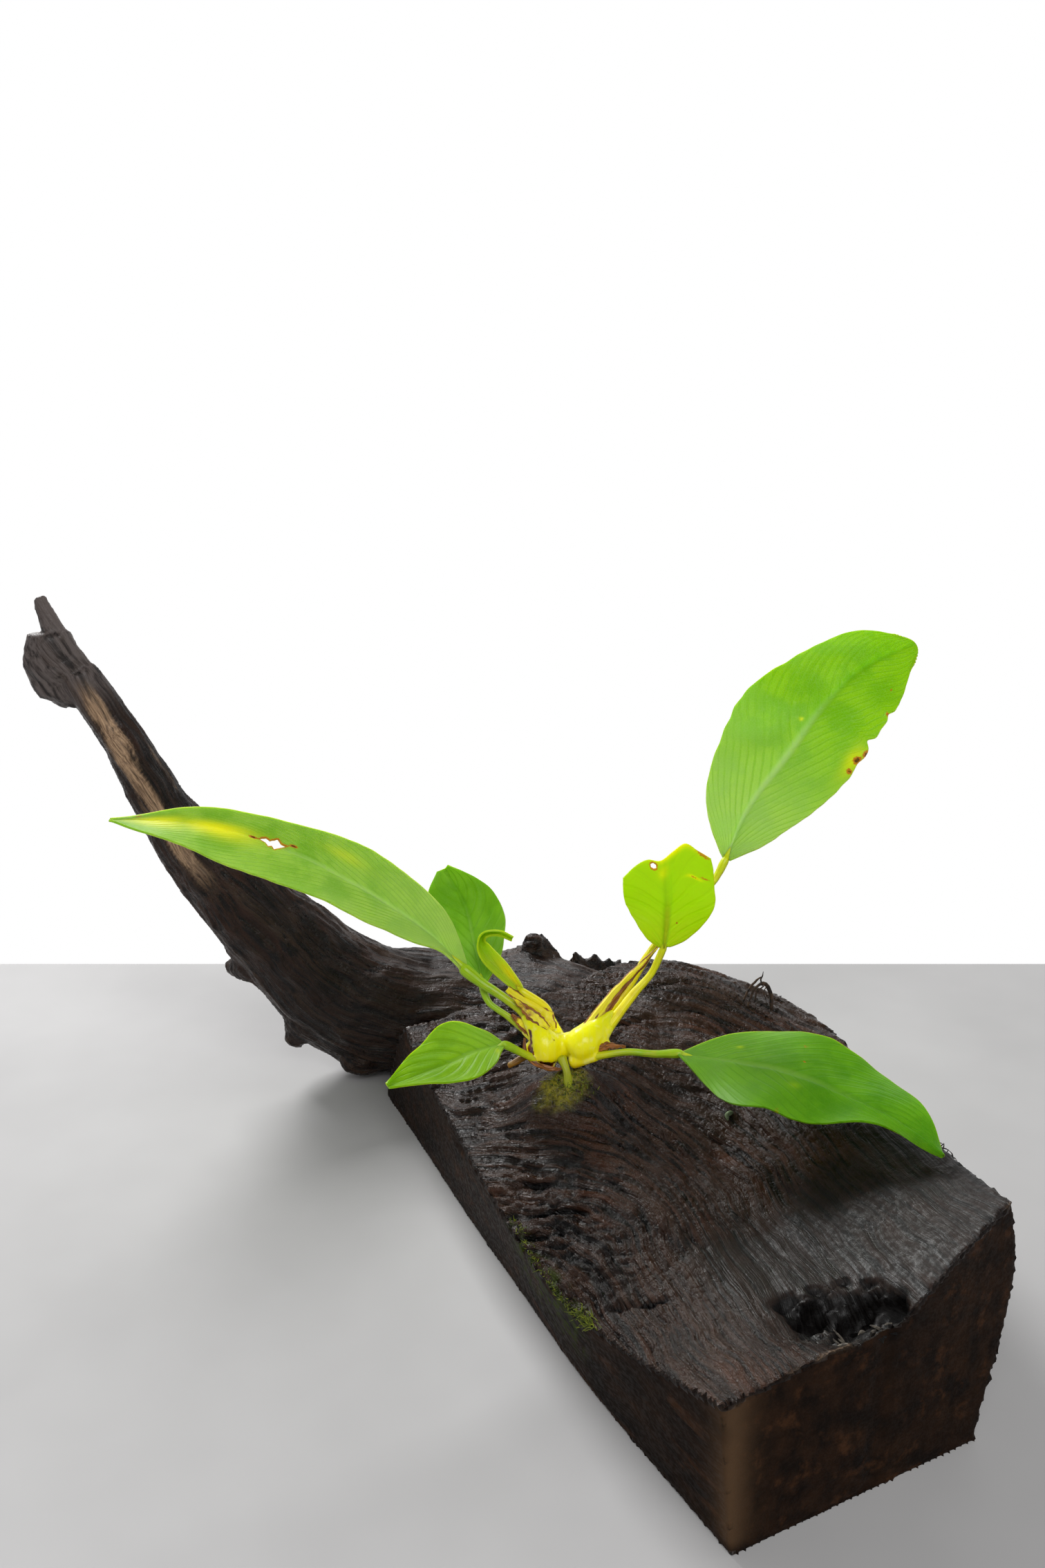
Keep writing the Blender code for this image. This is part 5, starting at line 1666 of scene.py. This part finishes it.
    def splinters(self) -> None:
        """Makes the pale splinters in the hollow at the block's near end."""
        rng = np.random.default_rng(3)
        bm = bmesh.new()
        grain = block_way(0.45, -0.9)
        for i in range(self.chips):
            across = 28.0 + 1.1 * i + rng.normal(0, 0.5)
            place, normal = self.on_block(across, rng.uniform(2.5, 9.0))
            way = (grain + astray(rng, 0.12)) * rng.uniform(1.2, 3.4)
            way -= normal * way.dot(normal)
            line = (place - way, place + normal * 0.35,
                    place + way + normal * rng.uniform(-0.2, 0.6))
            add_rod(bm, line, (0.12, rng.uniform(0.25, 0.5), 0.1), 9, 6)
        wood = Matt("splintered_wood", "#241e1a", "#6c655a")
        finish_piece("splinters", bm, [wood.make()])

    def scrap(self) -> None:
        """Makes a pale curled scrap of leaf that lies on the block."""
        bm = bmesh.new()
        place, _normal = self.on_block(54.2, 80.1, start=50)
        line = [place + Vector(step) for step in (
            (-0.8, -1.6, 0.2), (-0.9, -0.5, 0.7), (0.1, 0.6, 1.0), (0.9, 1.3, 0.5))]
        add_rod(bm, line, (0.25, 0.6, 0.7, 0.2), 14, 8, rough=0.25, seed=12)
        pale = Matt("bleached_leaf_scrap", "#5c7048", "#98a884")
        finish_piece("leaf_scrap", bm, [pale.make()])


# The studio


@dataclass
class Studio:
    """A pale table in front of a white wall, soft light and the photograph's camera."""

    table_depth: tuple = (-1500.0, 176.0)     # nearest and farthest edge
    table_width: float = 3000.0
    table_thickness: float = 20.0
    photo_height: float = 2268.0              # pixels
    photo_focus: float = 1830.0               # focal length in the same pixels
    camera_place: tuple = (-10.0, -306.0, 230.0)
    camera_pitch: float = math.radians(17.4146)
    lamps: tuple = (  # a name, a place in metres, a size and a power
        ("window", (-0.42, 0.70, 0.72), 0.40, 10.0),
        ("front_fill", (0.15, -0.70, 0.85), 0.6, 6.5))

    def build(self) -> None:
        """Sets up the table, the lights and the camera."""
        self.table()
        self.room()
        for name, place, size, power in self.lamps:
            light = bpy.data.lights.new(name, "AREA")
            light.size = size
            light.energy = power
            lamp = as_object(name, light)
            lamp.location = place
            lamp.rotation_euler = (-Vector(place)).to_track_quat("-Z", "Y").to_euler()
        lens = bpy.data.cameras.new("camera")
        lens.lens = self.photo_focus / self.photo_height * lens.sensor_width
        lens.clip_start = 0.01
        camera = as_object("camera", lens)
        camera.location = (Vector(self.camera_place) + Vector(CROWN)) * MM
        camera.rotation_euler = (math.pi / 2 - self.camera_pitch, 0, 0)
        bpy.context.scene.camera = camera
        bpy.context.scene.view_settings.view_transform = "Standard"

    def table(self) -> None:
        """Makes the table top, whose upper side is the floor of the model."""
        near, far = self.table_depth
        bm = bmesh.new()
        bmesh.ops.create_cube(bm, size=1.0)
        bmesh.ops.scale(bm, verts=bm.verts,
                        vec=(self.table_width, far - near, self.table_thickness))
        bmesh.ops.translate(bm, verts=bm.verts,
                            vec=(CROWN[0], CROWN[1] + (near + far) / 2, -self.table_thickness / 2))
        bmesh.ops.scale(bm, verts=bm.verts, vec=(MM, MM, MM))
        mesh = as_mesh("table_top", bm)
        paint = Matt("pale_matt_table", "#b6b5b5", "#bebdbd", scale=14.0, detail=3.0, spread=0.2,
                     roughness=0.75)
        mesh.materials.append(paint.make())
        table = as_object("table_top", mesh)

    @staticmethod
    def room() -> None:
        """Lights the world: brightest behind the table and low down, dim behind the camera."""
        world = bpy.data.worlds.new("white_wall_and_dim_room")
        bpy.context.scene.world = world
        world.use_nodes = True
        world.node_tree.nodes.clear()
        add = partial(add_node, world.node_tree)
        direction = add("TexCoord", out="Generated")
        wall = add("MapRange", add("SeparateXYZ", direction, out="Y"), -0.4, 0.4, 0.30, 1.0,
                   **SMOOTH)
        ceiling = add("MapRange", add("SeparateXYZ", direction, out="Z"), 0.30, 0.72, 1.0, 0.18,
                      **SMOOTH)
        add("OutputWorld", add("Background", "#ffffff", add("Math", wall, ceiling, **TIMES)))


def main() -> None:
    """Builds the studio, the wood and the plant, and notes the sizes."""
    Studio().build()
    surface = Driftwood().build()
    for maker in (Foliage(), Crown(), Sheaths(), Trimmings(surface)):
        maker.build()
        log.info("%s done", type(maker).__name__)
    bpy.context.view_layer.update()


if __name__ == "__main__":
    main()
